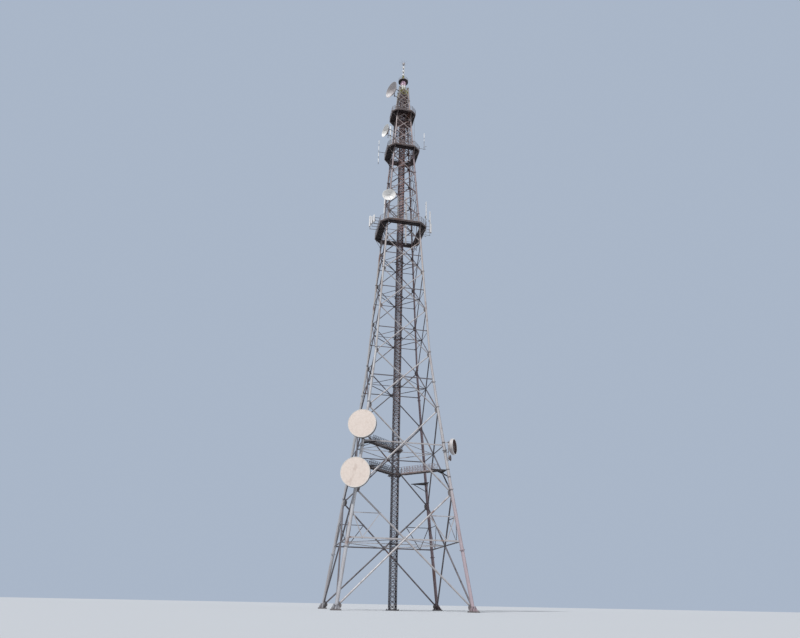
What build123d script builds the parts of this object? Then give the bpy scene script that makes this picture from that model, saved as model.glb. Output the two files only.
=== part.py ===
from build123d import *
import math
import os

os.makedirs("parts", exist_ok=True)

# Four-legged lattice tower for radio relay dishes, as a scale model at one tenth.
# All lengths are millimetres of the model. The origin is on the tower's centre line
# at ground level, +Z is up and the front face looks along -Y.

# Outline of the tower: half the spacing of the leg centres, at the ground and at each knee.
FOOT_HALF = 835.0
LOW_KNEE_Z = 1418.0
LOW_KNEE_HALF = 647.0
MIDDLE_KNEE_Z = 2593.0
MIDDLE_KNEE_HALF = 506.0
TOP_KNEE_Z = 3471.0
TOP_KNEE_HALF = 413.0
SPIRE_TAPER = 0.0572
SPIRE_PANELS = 14
PANEL_RATIO = 0.94

# Leg tubes and the bars of the sides, by tier from the ground up.
TIER_FIRST_PANEL = [0, 1, 2, 3, 6, 11]
LEG_DIAMETERS = [46.0, 42.0, 36.0, 30.0, 26.0, 22.0]
BRACE_WIDTHS = [22.0, 20.0, 18.0, 14.0, 11.0, 9.0]
BRACE_DEPTHS = [10.0, 9.0, 8.0, 7.0, 5.0, 4.0]
REDUNDANT_WIDTH = 10.0
LEG_SIDES = 8
FOOT_NODE_Z = 40.0
HEAD_NODE_DROP = 14.0
BRACE_END_PER_LEG = 0.2

# Foot plates and their anchor holes.
FOOT_PLATE = 120.0
FOOT_PLATE_T = 14.0
FOOT_BOLT_SPACING = 88.0
FOOT_BOLT_R = 3.5

# Core shaft, a square lattice column on the centre line.
CORE_HALF = 50.0
CORE_POST = 9.0
CORE_BAR = 5.0
CORE_BAY = 620.0
CORE_FOOT = 150.0
CORE_FOOT_T = 12.0

# Flat bracing at the crossings of the lower sides.
PLAN_LEVELS = 6
PLAN_BAR = 9.0
PLAN_COLLAR = 12.0

# Walkway bridges from the legs to the core, and the corner landings on the legs.
# A place on the tower is counted in panels from the ground.
LOW_BRIDGE_AT = 1.27
BRIDGE_WIDTH = 84.0
DECK_T = 5.0
BRIDGE_RAIL_H = 96.0
BRIDGE_BAR = 5.0
BRIDGE_BAYS = 3
LANDING_REACH = 222.0
LANDING_HALF = 92.0
LANDING_T = 12.0
LANDING_STRUT = 8.0
LANDING_STRUT_DROP = 100.0
LANDING_INSET = 16.0

# The three working platforms: place of the underside, overhang beyond the leg centres, corner
# chamfer and the drop of the knee braces below the deck. The floored ones are also decked inside.
PLATFORMS = {
    "big_platform": (6.54, 123.5, 122.0, 150.0),
    "middle_platform": (10.429, 118.0, 112.0, 120.0),
    "upper_platform": (13.49, 102.0, 88.0, 95.0),
}
FLOORED_PLATFORMS = ("upper_platform",)
PLATFORM_GAP = 3.0
EDGE_BEAM_H = 16.0
EDGE_BEAM_W = 8.0
RAILING_H = 112.0
RAIL_BAR = 5.0
RAIL_POSTS_PER_SIDE = 3

# Dishes: leg signs, place, heading from the front towards +X, diameter and stand-off of the rim
# from the leg centre. The open ones also give the depth of the skirt before their rim and how
# far their pipe reaches down.
SHROUDED_DISHES = {
    "dish_front_high": (-1, -1, 1.715, -20.0, 386.0, 206.0),
    "dish_front_low": (-1, -1, 1.148, -17.0, 386.0, 206.0),
}
SHROUD_DEPTH = 62.0
SHROUD_RIM = 6.0
RADOME_T = 5.0
OPEN_DISHES = {
    "dish_right": (1, -1, 1.534, 56.0, 222.0, 150.0, 34.0, 185.0),
    "dish_spire_low": (-1, -1, 7.516, -15.0, 230.0, 136.0, 0.0, 90.0),
    "dish_spire_middle": (-1, -1, 11.4, -70.0, 246.0, 218.0, 0.0, 140.0),
    "dish_spire_high": (-1, -1, 15.8, -63.0, 325.0, 193.0, 0.0, 125.0),
}
# The small dish sits lower down on the pipe of another one.
SMALL_DISH_ON = "dish_right"
SMALL_DISH_D = 84.0
SMALL_DISH_DROP = 150.0
DISH_SHELL = 3.0
DISH_DEPTH_RATIO = 0.22
DISH_SIDES = 20
DISH_HUB_PER_D = 0.07
MOUNT_PIPE = 10.0
MOUNT_HUB = 20.0
MOUNT_GAP = 8.0
MOUNT_SPREAD = 0.3
MOUNT_PIPE_PER_SPREAD = 1.25

# Panel antennas on the big platform: heading of each group, then side, place along it, distance
# beyond the edge, height above the deck, width and height of each antenna.
PANEL_HEADINGS = {"panel_antennas_left": -50.0, "panel_antennas_right": 30.0}
PANEL_ANTENNAS = {
    "panel_antennas_left": [(-1, -20.0, 134.0, 29.0, 32.0, 220.0), (-1, -110.0, 113.0, 30.0, 26.0, 150.0),
                            (-1, -200.0, 90.0, 9.0, 32.0, 145.0)],
    "panel_antennas_right": [(1, -20.0, 55.0, 340.0, 14.0, 380.0), (1, -60.0, 115.0, 240.0, 22.0, 246.0),
                             (1, -150.0, 101.0, -21.0, 36.0, 188.0)],
}
PANEL_T = 13.0
PANEL_PIPE = 7.0

# Whip antennas on the middle platform: side, place along it, distance beyond the edge, height
# above the deck, length and whether the arm is at the railing.
WHIPS = {
    "whip_left": (-1, 0.0, 138.0, -296.0, 565.0, False),
    "whip_right": (1, -130.0, 100.0, 256.0, 220.0, True),
}
WHIP_D = 10.0

# Poles that stand on a platform: its name, x, y and the place of the pole's top.
DECK_POLES = {
    "deck_pole_left": ("big_platform", -300.0, -45.0, 7.89),
    "deck_pole_right": ("big_platform", 290.0, 0.0, 8.97),
    "deck_pole_upper": ("middle_platform", 230.0, -20.0, 13.42),
}

# Head of the tower.
CAP_HALF = 96.0
CAP_BEAM = 22.0
CAP_CROSS = 10.0
CAP_BASE_HALF = 40.0
CAP_T = 8.0
HEAD_MAST_HALF = 32.0
HEAD_PANEL_W = 54.0
HEAD_PANEL_T = 16.0
HEAD_PANEL_H = 101.0
HEAD_PANEL_GAP = 9.0
HEAD_TIERS = 2
RING_R = 96.0
RING_T = 6.0
TOP_MAST_H = 534.0
TOP_MAST = 12.0
TOP_TIP = 6.0
TOP_DRUM_D = 50.0
TOP_DRUM_H = 50.0
TOP_DRUM_PITCH = 104.0
TOP_DRUMS = 4
TOP_STRUT = 7.0
TOP_STRUT_REACH = 52.0
TOP_STRUT_H = 165.0

KNEES = [
    (0.0, FOOT_HALF),
    (LOW_KNEE_Z, LOW_KNEE_HALF),
    (MIDDLE_KNEE_Z, MIDDLE_KNEE_HALF),
    (TOP_KNEE_Z, TOP_KNEE_HALF),
]


def half(z):
    """Half the spacing of the leg centres at height z."""
    for (z0, h0), (z1, h1) in zip(KNEES, KNEES[1:]):
        if z <= z1:
            return h0 + (h1 - h0) * (z - z0) / (z1 - z0)
    return TOP_KNEE_HALF - SPIRE_TAPER * (z - TOP_KNEE_Z)


def panel_levels():
    """Heights of the panel points, from the ground to the top of the legs."""
    levels = [z for z, _ in KNEES]
    for _ in range(SPIRE_PANELS):
        levels.append(levels[-1] + PANEL_RATIO * 2 * half(levels[-1]))
    return levels


LEVELS = panel_levels()
LEG_TOP = LEVELS[-1]
RING_Z = LEG_TOP + CAP_T + HEAD_PANEL_GAP + HEAD_TIERS * (HEAD_PANEL_H + HEAD_PANEL_GAP)
TOP_Z = RING_Z + RING_T + TOP_MAST_H


def at(place):
    """Height of a place counted in panels from the ground."""
    panel = min(int(place), len(LEVELS) - 2)
    return LEVELS[panel] + (place - panel) * (LEVELS[panel + 1] - LEVELS[panel])


def tier(panel):
    """Tier that a panel belongs to."""
    return max(i for i, first in enumerate(TIER_FIRST_PANEL) if panel >= first)


def panel_at(z):
    """Panel that holds height z."""
    return max(i for i, level in enumerate(LEVELS[:-1]) if z >= level)


def leg_radius(z):
    return LEG_DIAMETERS[tier(panel_at(z))] / 2


def crossing(panel):
    """Height where the two diagonals of a panel cross."""
    low, high = node_z(panel), node_z(panel + 1)
    return low + (high - low) * half(low) / (half(low) + half(high))


def leg_point(sx, sy, z):
    return Vector(sx * half(z), sy * half(z), z)


def ring(centre, across, frame, sides):
    """Corners of a regular outline around a centre, measured across its flats."""
    radius = across / 2 / math.cos(math.pi / sides)
    corners = []
    for i in range(sides):
        turn = math.pi * (2 * i + 1) / sides
        along, across_it = radius * math.cos(turn), radius * math.sin(turn)
        corners.append(centre + frame.x_dir * along + frame.y_dir * across_it)
    return corners


def shell(rings):
    """Closed solid of flat faces that joins the rings in turn."""
    loops = [rings[0], rings[-1]]
    for low, high in zip(rings, rings[1:]):
        for i in range(len(low)):
            loops.append([low[i - 1], low[i], high[i], high[i - 1]])
    return Solid(Shell([Face(Wire(Polyline(*loop, close=True).edges())) for loop in loops]))


def bar(p, q, width, depth, normal=(0, 0, 1)):
    """Flat-sided bar from p to q, its depth along the normal."""
    p, q = Vector(*p), Vector(*q)
    frame = Plane(origin=p, x_dir=Vector(*normal), z_dir=q - p)
    corner = p - frame.x_dir * (depth / 2) - frame.y_dir * (width / 2)
    return Solid.make_box(depth, width, (q - p).length, Plane(corner, frame.x_dir, frame.z_dir))


def block(x0, x1, y0, y1, z0, z1):
    return Solid.make_box(x1 - x0, y1 - y0, z1 - z0, Plane((x0, y0, z0)))


def fuse(solids):
    """One solid from pieces that touch or cross."""
    first, rest = solids[0], solids[1:]
    whole = first.fuse(*rest) if rest else first
    return Compound(children=list(whole.solids())) if len(whole.solids()) > 1 else whole.solids()[0]


def save(shape, name):
    export_step(shape, f"parts/{name}.step")


def side_normal(z0, z1):
    """Outward normal of the front side between two heights."""
    lean = (half(z0) - half(z1)) / (z1 - z0)
    return Vector(0, -1, lean).normalized()


def side_point(x, z):
    return Vector(x, -half(z), z)


def leg_tubes(sx, sy):
    """Tubes of one leg by tier, which also cut the pieces that are welded to the leg."""
    starts = [LEVELS[i] for i in TIER_FIRST_PANEL] + [LEG_TOP]
    starts[0] = FOOT_PLATE_T
    tubes = []
    for diameter, z0, z1 in zip(LEG_DIAMETERS, starts, starts[1:]):
        tubes.append(shell([ring(leg_point(sx, sy, z), diameter, Plane.XY, LEG_SIDES) for z in (z0, z1)]))
    return tubes


def leg():
    """Front left leg: tubes by tier on a foot plate with four anchor holes."""
    reach = FOOT_PLATE / 2
    plate = block(-reach, reach, -reach, reach, 0, FOOT_PLATE_T)
    for sx in (-1, 1):
        for sy in (-1, 1):
            spot = (sx * FOOT_BOLT_SPACING / 2, sy * FOOT_BOLT_SPACING / 2, 0)
            plate = plate.cut(Solid.make_cylinder(FOOT_BOLT_R, FOOT_PLATE_T, Plane(spot))).solids()[0]
    return fuse([plate.moved(Location((-FOOT_HALF, -FOOT_HALF, 0)))] + leg_tubes(-1, -1))


def node_z(level):
    """Height where the diagonals of a level meet the leg."""
    if level == 0:
        return FOOT_NODE_Z
    if LEVELS[level] == LEG_TOP:
        return LEG_TOP - HEAD_NODE_DROP
    return LEVELS[level]


def side_bar(p, q, width, depth, normal):
    """Bar of the front side whose ends lie just inside the legs."""
    along = (q - p).normalized()
    start = p + along * (leg_radius(p.Z) * BRACE_END_PER_LEG)
    end = q - along * (leg_radius(q.Z) * BRACE_END_PER_LEG)
    return bar(start, end, width, depth, normal)


def side_panel(panel):
    """Crossed diagonals and the bar through their crossing."""
    z0, z1 = node_z(panel), node_z(panel + 1)
    width, depth = BRACE_WIDTHS[tier(panel)], BRACE_DEPTHS[tier(panel)]
    normal = side_normal(z0, z1)
    pieces = []
    for sx in (-1, 1):
        low, high = side_point(sx * half(z0), z0), side_point(-sx * half(z1), z1)
        pieces.append(side_bar(low, high, width, depth, normal))
    if panel < PLAN_LEVELS:
        zc = crossing(panel)
        left, right = side_point(-half(zc), zc), side_point(half(zc), zc)
        pieces.append(side_bar(left, right, width, depth, normal))
    return pieces


def redundants():
    """Short bars in the upper half of the lowest panel of the front side."""
    depth = BRACE_DEPTHS[0]
    normal = side_normal(0, LOW_KNEE_Z)
    zc = crossing(0)
    z_mid = (zc + LOW_KNEE_Z) / 2
    share = (z_mid - zc) / (LOW_KNEE_Z - zc)
    pieces = []
    for sx in (-1, 1):
        knot = side_point(sx * share * LOW_KNEE_HALF, z_mid)
        at_leg = side_point(sx * half(z_mid), z_mid)
        on_bar = side_point(sx * (share + 1) / 2 * half(zc), zc)
        pieces.append(bar(knot, at_leg, REDUNDANT_WIDTH, depth, normal))
        pieces.append(bar(knot, on_bar, REDUNDANT_WIDTH, depth, normal))
        pieces.append(bar(at_leg, on_bar, REDUNDANT_WIDTH, depth, normal))
    return pieces


SIDES = {"front": 0, "right": 90, "back": 180, "left": 270}
SIDE_GROUPS = {"lower_bracing": range(0, 3), "middle_bracing": range(3, 6),
               "spire_bracing": range(6, 3 + SPIRE_PANELS)}


def build_sides():
    for group, panels in SIDE_GROUPS.items():
        pieces = []
        for panel in panels:
            pieces += side_panel(panel)
        if 0 in panels:
            pieces += redundants()
        cutters = leg_tubes(-1, -1) + leg_tubes(1, -1)
        side = fuse(list(fuse(pieces).cut(*cutters).solids()))
        for name, turn in SIDES.items():
            save(side.rotate(Axis.Z, turn), f"{group}_{name}")


def plan_bracing(level):
    """Diamond between the four crossings of a level, tied to a collar on the core."""
    z = crossing(level)
    line = half(z)
    collar_out = CORE_HALF + PLAN_COLLAR
    low, high = z - PLAN_BAR / 2, z + PLAN_BAR / 2
    collar = block(-collar_out, collar_out, -collar_out, collar_out, low, high)
    collar = collar.cut(block(-CORE_HALF, CORE_HALF, -CORE_HALF, CORE_HALF, low, high)).solids()[0]
    pieces = [collar]
    # Each side's plane cuts the tips, so that they bear on the bar through its crossing.
    left, right = side_point(-line, z), side_point(line, z)
    normal = side_normal(node_z(level), node_z(level + 1))
    side = bar(left, right, 4 * PLAN_BAR, BRACE_DEPTHS[tier(level)], normal)
    for turn in SIDES.values():
        tie = block(-PLAN_BAR / 2, PLAN_BAR / 2, -line, -CORE_HALF - PLAN_COLLAR / 2, low, high)
        edge = bar((0, -line, z), (line, 0, z), PLAN_BAR, PLAN_BAR)
        pieces += [piece.rotate(Axis.Z, turn) for piece in (tie, edge)]
    whole = fuse(pieces).cut(*[side.rotate(Axis.Z, turn) for turn in SIDES.values()])
    return max(whole.solids(), key=lambda solid: solid.volume)


def core_section(z0, z1):
    """Square lattice column between two heights."""
    bays = max(1, round((z1 - z0) / CORE_BAY))
    pitch = (z1 - z0) / bays
    inner = CORE_HALF - CORE_POST
    pieces = []
    for sx in (-1, 1):
        for sy in (-1, 1):
            x0, x1 = sorted((sx * inner, sx * CORE_HALF))
            y0, y1 = sorted((sy * inner, sy * CORE_HALF))
            pieces.append(block(x0, x1, y0, y1, z0, z1))
    plane_y = -(CORE_HALF - CORE_POST / 2)
    end = CORE_BAR / 2
    for turn in SIDES.values():
        for z in (z0 + end, z1 - end):
            rung = bar((-inner, plane_y, z), (inner, plane_y, z), CORE_BAR, CORE_BAR, (0, -1, 0))
            pieces.append(rung.rotate(Axis.Z, turn))
        for i in range(bays):
            x = inner if i % 2 else -inner
            low, high = max(z0 + i * pitch, z0 + end), min(z0 + (i + 1) * pitch, z1 - end)
            brace = bar((x, plane_y, low), (-x, plane_y, high), CORE_BAR, CORE_BAR, (0, -1, 0))
            pieces.append(brace.rotate(Axis.Z, turn))
    return fuse(pieces)


def core_foot():
    reach = CORE_FOOT / 2
    return block(-reach, reach, -reach, reach, 0, CORE_FOOT_T)


def corner_landing(sx, sy, z):
    """Three-cornered deck inside a leg, on two struts from the leg."""
    out = half(z) - LANDING_INSET
    back = out - LANDING_REACH
    low = z + DECK_T - LANDING_T
    outline = Polyline((out, out, low), (back, out, low), (out, back, low), close=True)
    pieces = [Solid.extrude(Face(Wire(outline.edges())), Vector(0, 0, LANDING_T))]
    foot_z = z - LANDING_STRUT_DROP
    foot = half(foot_z)
    tip = out - LANDING_STRUT
    for x, y in ((back + 2 * LANDING_INSET, tip), (tip, back + 2 * LANDING_INSET)):
        pieces.append(bar((foot, foot, foot_z), (x, y, z), LANDING_STRUT, LANDING_STRUT))
    whole = fuse(list(fuse(pieces).cut(*leg_tubes(1, 1)).solids()))
    if sx < 0:
        whole = whole.mirror(Plane.YZ)
    if sy < 0:
        whole = whole.mirror(Plane.XZ)
    return whole


def core_landing(z):
    """Square deck around the core, still without the hole for it."""
    return block(-LANDING_HALF, LANDING_HALF, -LANDING_HALF, LANDING_HALF, z, z + DECK_T)


def bridge_arm(sx, sy, z):
    """Deck with two handrails from a corner landing to the core's landing."""
    far = (half(z) - LANDING_INSET - LANDING_REACH / 2) * math.sqrt(2)
    near = LANDING_HALF * math.sqrt(2)
    side = BRIDGE_WIDTH / 2
    deck = block(near - side, far, -side, side, z, z + DECK_T).rotate(Axis.Z, 45)
    pieces = [deck.cut(core_landing(z)).solids()[0]]
    first, last = near + BRIDGE_BAR / 2, far - BRIDGE_BAR / 2
    top = z + DECK_T + BRIDGE_RAIL_H
    for y in (-side + BRIDGE_BAR / 2, side - BRIDGE_BAR / 2):
        y0, y1 = y - BRIDGE_BAR / 2, y + BRIDGE_BAR / 2
        rails = [block(near, far, y0, y1, top - BRIDGE_BAR, top)]
        for i in range(BRIDGE_BAYS + 1):
            x = first + i * (last - first) / BRIDGE_BAYS
            rails.append(block(x - BRIDGE_BAR / 2, x + BRIDGE_BAR / 2, y0, y1, z + DECK_T / 2, top))
        pieces += [rail.rotate(Axis.Z, 45) for rail in rails]
    pieces.append(corner_landing(1, 1, z))
    whole = fuse(pieces)
    if sx < 0:
        whole = whole.mirror(Plane.YZ)
    if sy < 0:
        whole = whole.mirror(Plane.XZ)
    return whole


def bridge(sx, sy, z):
    """Landing around the core, the deck to one leg and the corner landing there."""
    landing = core_landing(z).cut(block(-CORE_HALF, CORE_HALF, -CORE_HALF, CORE_HALF, z, z + DECK_T))
    return fuse([landing.solids()[0], bridge_arm(sx, sy, z)])


def octagon(reach, chamfer):
    """Square with cut corners, as the corner points of its outline."""
    edge = reach - chamfer
    return [(-edge, -reach), (edge, -reach), (reach, -edge), (reach, edge),
            (edge, reach), (-edge, reach), (-reach, edge), (-reach, -edge)]


def octagon_solid(reach, chamfer, z, height):
    points = [(x, y, z) for x, y in octagon(reach, chamfer)]
    return Solid.extrude(Face(Wire(Polyline(*points, close=True).edges())), Vector(0, 0, height))


def octagon_ring(reach, chamfer, width, z, height):
    inner_chamfer = chamfer - width * (2 - math.sqrt(2))
    outer = octagon_solid(reach, chamfer, z, height)
    return outer.cut(octagon_solid(reach - width, inner_chamfer, z, height)).solids()[0]


def platform_size(name):
    """Height of a platform's underside and its half width."""
    place, overhang = PLATFORMS[name][:2]
    z = at(place)
    return z, half(z) + overhang


def bar_slot(z, gap):
    """Box round both diagonals of the front side at height z."""
    panel = panel_at(z)
    z0, z1 = node_z(panel), node_z(panel + 1)
    reach = []
    for height in (z, z + DECK_T):
        share = (height - z0) / (z1 - z0)
        reach.append(abs(share * (half(z0) + half(z1)) - half(z0)))
    side = max(reach) + BRACE_WIDTHS[tier(panel)] + gap
    deep = BRACE_DEPTHS[tier(panel)] / 2 + gap
    return block(-side, side, -half(z) - deep, -half(z) + deep, z, z + DECK_T)


def platform(z, reach, chamfer, drop, floored):
    """Deck around the spire with an edge beam, cantilever beams and knee braces from the legs."""
    top = z + EDGE_BEAM_H
    line = half(z)
    opening = line + BRACE_DEPTHS[tier(panel_at(z))] / 2 + PLATFORM_GAP
    deck = octagon_solid(reach, chamfer, top, DECK_T)
    if floored:
        opening = CORE_HALF + PLATFORM_GAP
        slot = bar_slot(top, PLATFORM_GAP)
        deck = deck.cut(*[slot.rotate(Axis.Z, turn) for turn in SIDES.values()]).solids()[0]
    deck = deck.cut(block(-opening, opening, -opening, opening, top, top + DECK_T)).solids()[0]
    pieces = [deck, octagon_ring(reach, chamfer, EDGE_BEAM_W, z, EDGE_BEAM_H)]
    foot_z = z - drop
    foot = half(foot_z)
    for turn in SIDES.values():
        for sx in (-1, 1):
            beam = block(sx * line - EDGE_BEAM_W / 2, sx * line + EDGE_BEAM_W / 2,
                         -reach + EDGE_BEAM_W / 2, -line, z, top + DECK_T / 2)
            knee = bar((sx * foot, -foot, foot_z), (sx * line, -reach + EDGE_BEAM_W, z + EDGE_BEAM_H / 2),
                       EDGE_BEAM_W, EDGE_BEAM_W, (1, 0, 0))
            pieces += [beam.rotate(Axis.Z, turn), knee.rotate(Axis.Z, turn)]
    cutters = [tube for sx in (-1, 1) for sy in (-1, 1) for tube in leg_tubes(sx, sy)]
    return fuse(list(fuse(pieces).cut(*cutters).solids()))


def railing(z, reach, chamfer):
    """Posts and a top rail round a platform's edge."""
    base = z + EDGE_BEAM_H + DECK_T
    rail = base + RAILING_H - RAIL_BAR
    pieces = [octagon_ring(reach, chamfer, RAIL_BAR, rail, RAIL_BAR)]
    edge = reach - chamfer - RAIL_BAR
    for turn in SIDES.values():
        for i in range(RAIL_POSTS_PER_SIDE):
            x0 = -edge + 2 * edge * i / (RAIL_POSTS_PER_SIDE - 1) - RAIL_BAR / 2
            post = block(x0, x0 + RAIL_BAR, -reach, -reach + RAIL_BAR, base, rail + RAIL_BAR / 2)
            pieces.append(post.rotate(Axis.Z, turn))
    return fuse(pieces)


def heading(angle):
    """Unit vector, the angle measured from the front towards +X."""
    return Vector(math.sin(math.radians(angle)), -math.cos(math.radians(angle)), 0)


def dish_mount(sx, sy, z, angle, diameter, rim, depth, tail):
    """Upright pipe behind a dish, two arms to the leg and the hub that holds the dish."""
    ahead = heading(angle)
    spread = diameter * MOUNT_SPREAD
    pipe_at = leg_point(sx, sy, z) + ahead * (rim - depth - MOUNT_GAP)
    rise = Vector(0, 0, spread)
    pipe_end = rise * MOUNT_PIPE_PER_SPREAD
    pipe_foot = Vector(0, 0, max(tail, pipe_end.Z))
    pieces = [bar(pipe_at - pipe_foot, pipe_at + pipe_end, MOUNT_PIPE, MOUNT_PIPE, ahead)]
    for level in (-1, 1):
        arm = bar(leg_point(sx, sy, z + level * spread), pipe_at + rise * level, MOUNT_PIPE, MOUNT_PIPE)
        pieces += arm.cut(*leg_tubes(sx, sy)).solids()
    pieces.append(bar(pipe_at, pipe_at + ahead * (MOUNT_GAP + DISH_SHELL), MOUNT_HUB, MOUNT_HUB))
    return pieces


def turned(profile, origin, ahead):
    """Many-sided solid around an axis, from (distance along it, radius) pairs."""
    frame = Plane(origin=origin, x_dir=(0, 0, 1), z_dir=ahead)
    return shell([ring(origin + ahead * along, 2 * radius, frame, DISH_SIDES) for along, radius in profile])


def bowl(diameter, depth, shell=0.0):
    """Curve of a dish from its hub to its rim, moved inward by the shell."""
    hub, rim = diameter * DISH_HUB_PER_D, diameter / 2 - shell
    return [(shell, hub), (shell + depth / 4, rim / 2), (shell + depth, rim)]


def shrouded_dish(sx, sy, place, angle, diameter, rim):
    """Closed drum dish: dished back, straight shroud and a flat front that carries the radome."""
    ahead, z = heading(angle), at(place)
    radius, inner = diameter / 2, diameter / 2 - SHROUD_RIM
    curve = bowl(diameter, diameter * DISH_DEPTH_RATIO)
    depth = curve[-1][0] + SHROUD_DEPTH
    origin = leg_point(sx, sy, z) + ahead * (rim - depth)
    seat = depth - RADOME_T
    body = turned(curve + [(depth, radius), (depth, inner), (seat, inner)], origin, ahead)
    radome = turned([(seat, inner), (depth, inner)], origin, ahead)
    return fuse([body] + dish_mount(sx, sy, z, angle, diameter, rim, depth, 0.0)), radome


def dish_bowl(origin, ahead, diameter, skirt=0.0):
    """Open bowl with a straight skirt before its rim, and its feed."""
    depth, radius = diameter * DISH_DEPTH_RATIO, diameter / 2
    back, front = bowl(diameter, depth), bowl(diameter, depth, DISH_SHELL)
    lip = [(depth + DISH_SHELL + skirt, radius)]
    if skirt:
        lip.append((depth + DISH_SHELL + skirt, radius - DISH_SHELL))
    body = turned(back + lip + front[::-1], origin, ahead)
    feed = bar(origin + ahead * (DISH_SHELL / 2), origin + ahead * (depth * 1.5), MOUNT_PIPE, MOUNT_PIPE)
    return [body, feed]


def open_dish(sx, sy, place, angle, diameter, rim, skirt, tail):
    """Open dish on its own mount."""
    ahead, z = heading(angle), at(place)
    depth = diameter * DISH_DEPTH_RATIO + skirt
    origin = leg_point(sx, sy, z) + ahead * (rim - depth)
    mount = dish_mount(sx, sy, z, angle, diameter, rim, depth, tail)
    return fuse(dish_bowl(origin, ahead, diameter, skirt) + mount)


def small_dish():
    """Small dish on the pipe of another one."""
    sx, sy, place, angle, diameter, rim, skirt, _ = OPEN_DISHES[SMALL_DISH_ON]
    ahead = heading(angle)
    depth = diameter * DISH_DEPTH_RATIO + skirt
    pipe_at = leg_point(sx, sy, at(place)) + ahead * (rim - depth - MOUNT_GAP)
    pipe_at -= Vector(0, 0, SMALL_DISH_DROP)
    hub_end = pipe_at + ahead * (MOUNT_GAP + DISH_SHELL)
    hub = bar(pipe_at + ahead * (MOUNT_PIPE / 2), hub_end, MOUNT_PIPE, MOUNT_HUB)
    return fuse(dish_bowl(pipe_at + ahead * MOUNT_GAP, ahead, SMALL_DISH_D) + [hub])


def stand_off(side, y, out, low, high, level, platform_name):
    """Upright pipe beside a platform, on arms to its edge at the given heights above the deck."""
    z, reach = platform_size(platform_name)
    base = z + EDGE_BEAM_H + DECK_T
    x = side * (reach + out)
    pieces = [bar((x, y, base + low), (x, y, base + high), PANEL_PIPE, PANEL_PIPE, (1, 0, 0))]
    for height in level:
        pieces.append(bar((side * reach, y, base + height), (x, y, base + height), RAIL_BAR, RAIL_BAR))
    return x, base, pieces


def panel_group(name, platform_name):
    """Panel antennas on stand-off arms from a platform's edge beam and railing."""
    ahead = heading(PANEL_HEADINGS[name])
    solids = []
    for side, y, out, low, width, height in PANEL_ANTENNAS[name]:
        level = (-DECK_T - EDGE_BEAM_H / 2, RAILING_H - RAIL_BAR)
        bottom, top = min(low, level[0]) - PANEL_PIPE, low + height - PANEL_PIPE
        x, base, pieces = stand_off(side, y, out, bottom, top, level, platform_name)
        foot = Vector(x, y, base + low) + ahead * (PANEL_T / 2)
        pieces.append(bar(foot, foot + Vector(0, 0, height), width, PANEL_T, ahead))
        solids.append(fuse(pieces))
    return solids


def whip(side, y, out, low, length, on_railing, platform_name):
    """Whip antenna on a stand-off arm from a platform's edge or railing."""
    arm_at = RAILING_H - RAIL_BAR if on_railing else -DECK_T - EDGE_BEAM_H / 2
    bottom = min(low, arm_at - PANEL_PIPE)
    x, base, pieces = stand_off(side, y, out, bottom, low + PANEL_PIPE, (arm_at,), platform_name)
    ends = [Vector(x, y, base + low), Vector(x, y, base + low + length)]
    pieces.append(shell([ring(end, WHIP_D, Plane.XY, LEG_SIDES) for end in ends]))
    return fuse(pieces)


def deck_pole(platform_name, x, y, top_place):
    """Pole on a platform's deck."""
    base = platform_size(platform_name)[0] + EDGE_BEAM_H + DECK_T
    return bar((x, y, base), (x, y, at(top_place)), PANEL_PIPE, PANEL_PIPE, (0, -1, 0))


def head():
    """Frame on the legs with the mast's base, the head mast and the ring platform."""
    top, inner = LEG_TOP + CAP_T, CAP_HALF - CAP_BEAM
    cap = block(-CAP_HALF, CAP_HALF, -CAP_HALF, CAP_HALF, LEG_TOP, top)
    cap = cap.cut(block(-inner, inner, -inner, inner, LEG_TOP, top)).solids()[0]
    cross = CAP_CROSS / 2
    pieces = [cap, block(-CAP_BASE_HALF, CAP_BASE_HALF, -CAP_BASE_HALF, CAP_BASE_HALF, LEG_TOP, top)]
    pieces.append(block(-inner - cross, inner + cross, -cross, cross, LEG_TOP, top))
    pieces.append(block(-cross, cross, -inner - cross, inner + cross, LEG_TOP, top))
    cap = fuse(pieces)
    reach = HEAD_MAST_HALF
    mast = block(-reach, reach, -reach, reach, LEG_TOP + CAP_T, RING_Z)
    panels = []
    side, out = HEAD_PANEL_W / 2, reach + HEAD_PANEL_T
    for turn in SIDES.values():
        for i in range(HEAD_TIERS):
            z0 = LEG_TOP + CAP_T + HEAD_PANEL_GAP + i * (HEAD_PANEL_H + HEAD_PANEL_GAP)
            panels.append(block(-side, side, -out, -reach, z0, z0 + HEAD_PANEL_H).rotate(Axis.Z, turn))
    ring = Solid.make_cylinder(RING_R, RING_T, Plane((0, 0, RING_Z)))
    return cap, mast, Compound(children=panels), ring


def top_mast():
    base = RING_Z + RING_T
    pieces = [block(-TOP_MAST / 2, TOP_MAST / 2, -TOP_MAST / 2, TOP_MAST / 2, base, TOP_Z)]
    for i in range(TOP_DRUMS):
        z = TOP_Z - TOP_TIP - TOP_DRUM_H - i * TOP_DRUM_PITCH
        ends = [Vector(0, 0, z), Vector(0, 0, z + TOP_DRUM_H)]
        pieces.append(shell([ring(end, TOP_DRUM_D, Plane.XY, LEG_SIDES) for end in ends]))
    foot, head_z = TOP_STRUT_REACH, base + TOP_STRUT_H
    strut = bar((foot, 0, base), (0, 0, head_z), TOP_STRUT, TOP_STRUT, (0, 1, 0))
    for turn in SIDES.values():
        pieces.append(strut.rotate(Axis.Z, turn))
    below = block(-foot * 2, foot * 2, -foot * 2, foot * 2, base - foot, base)
    return fuse(pieces).cut(below).solids()[0]


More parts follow.
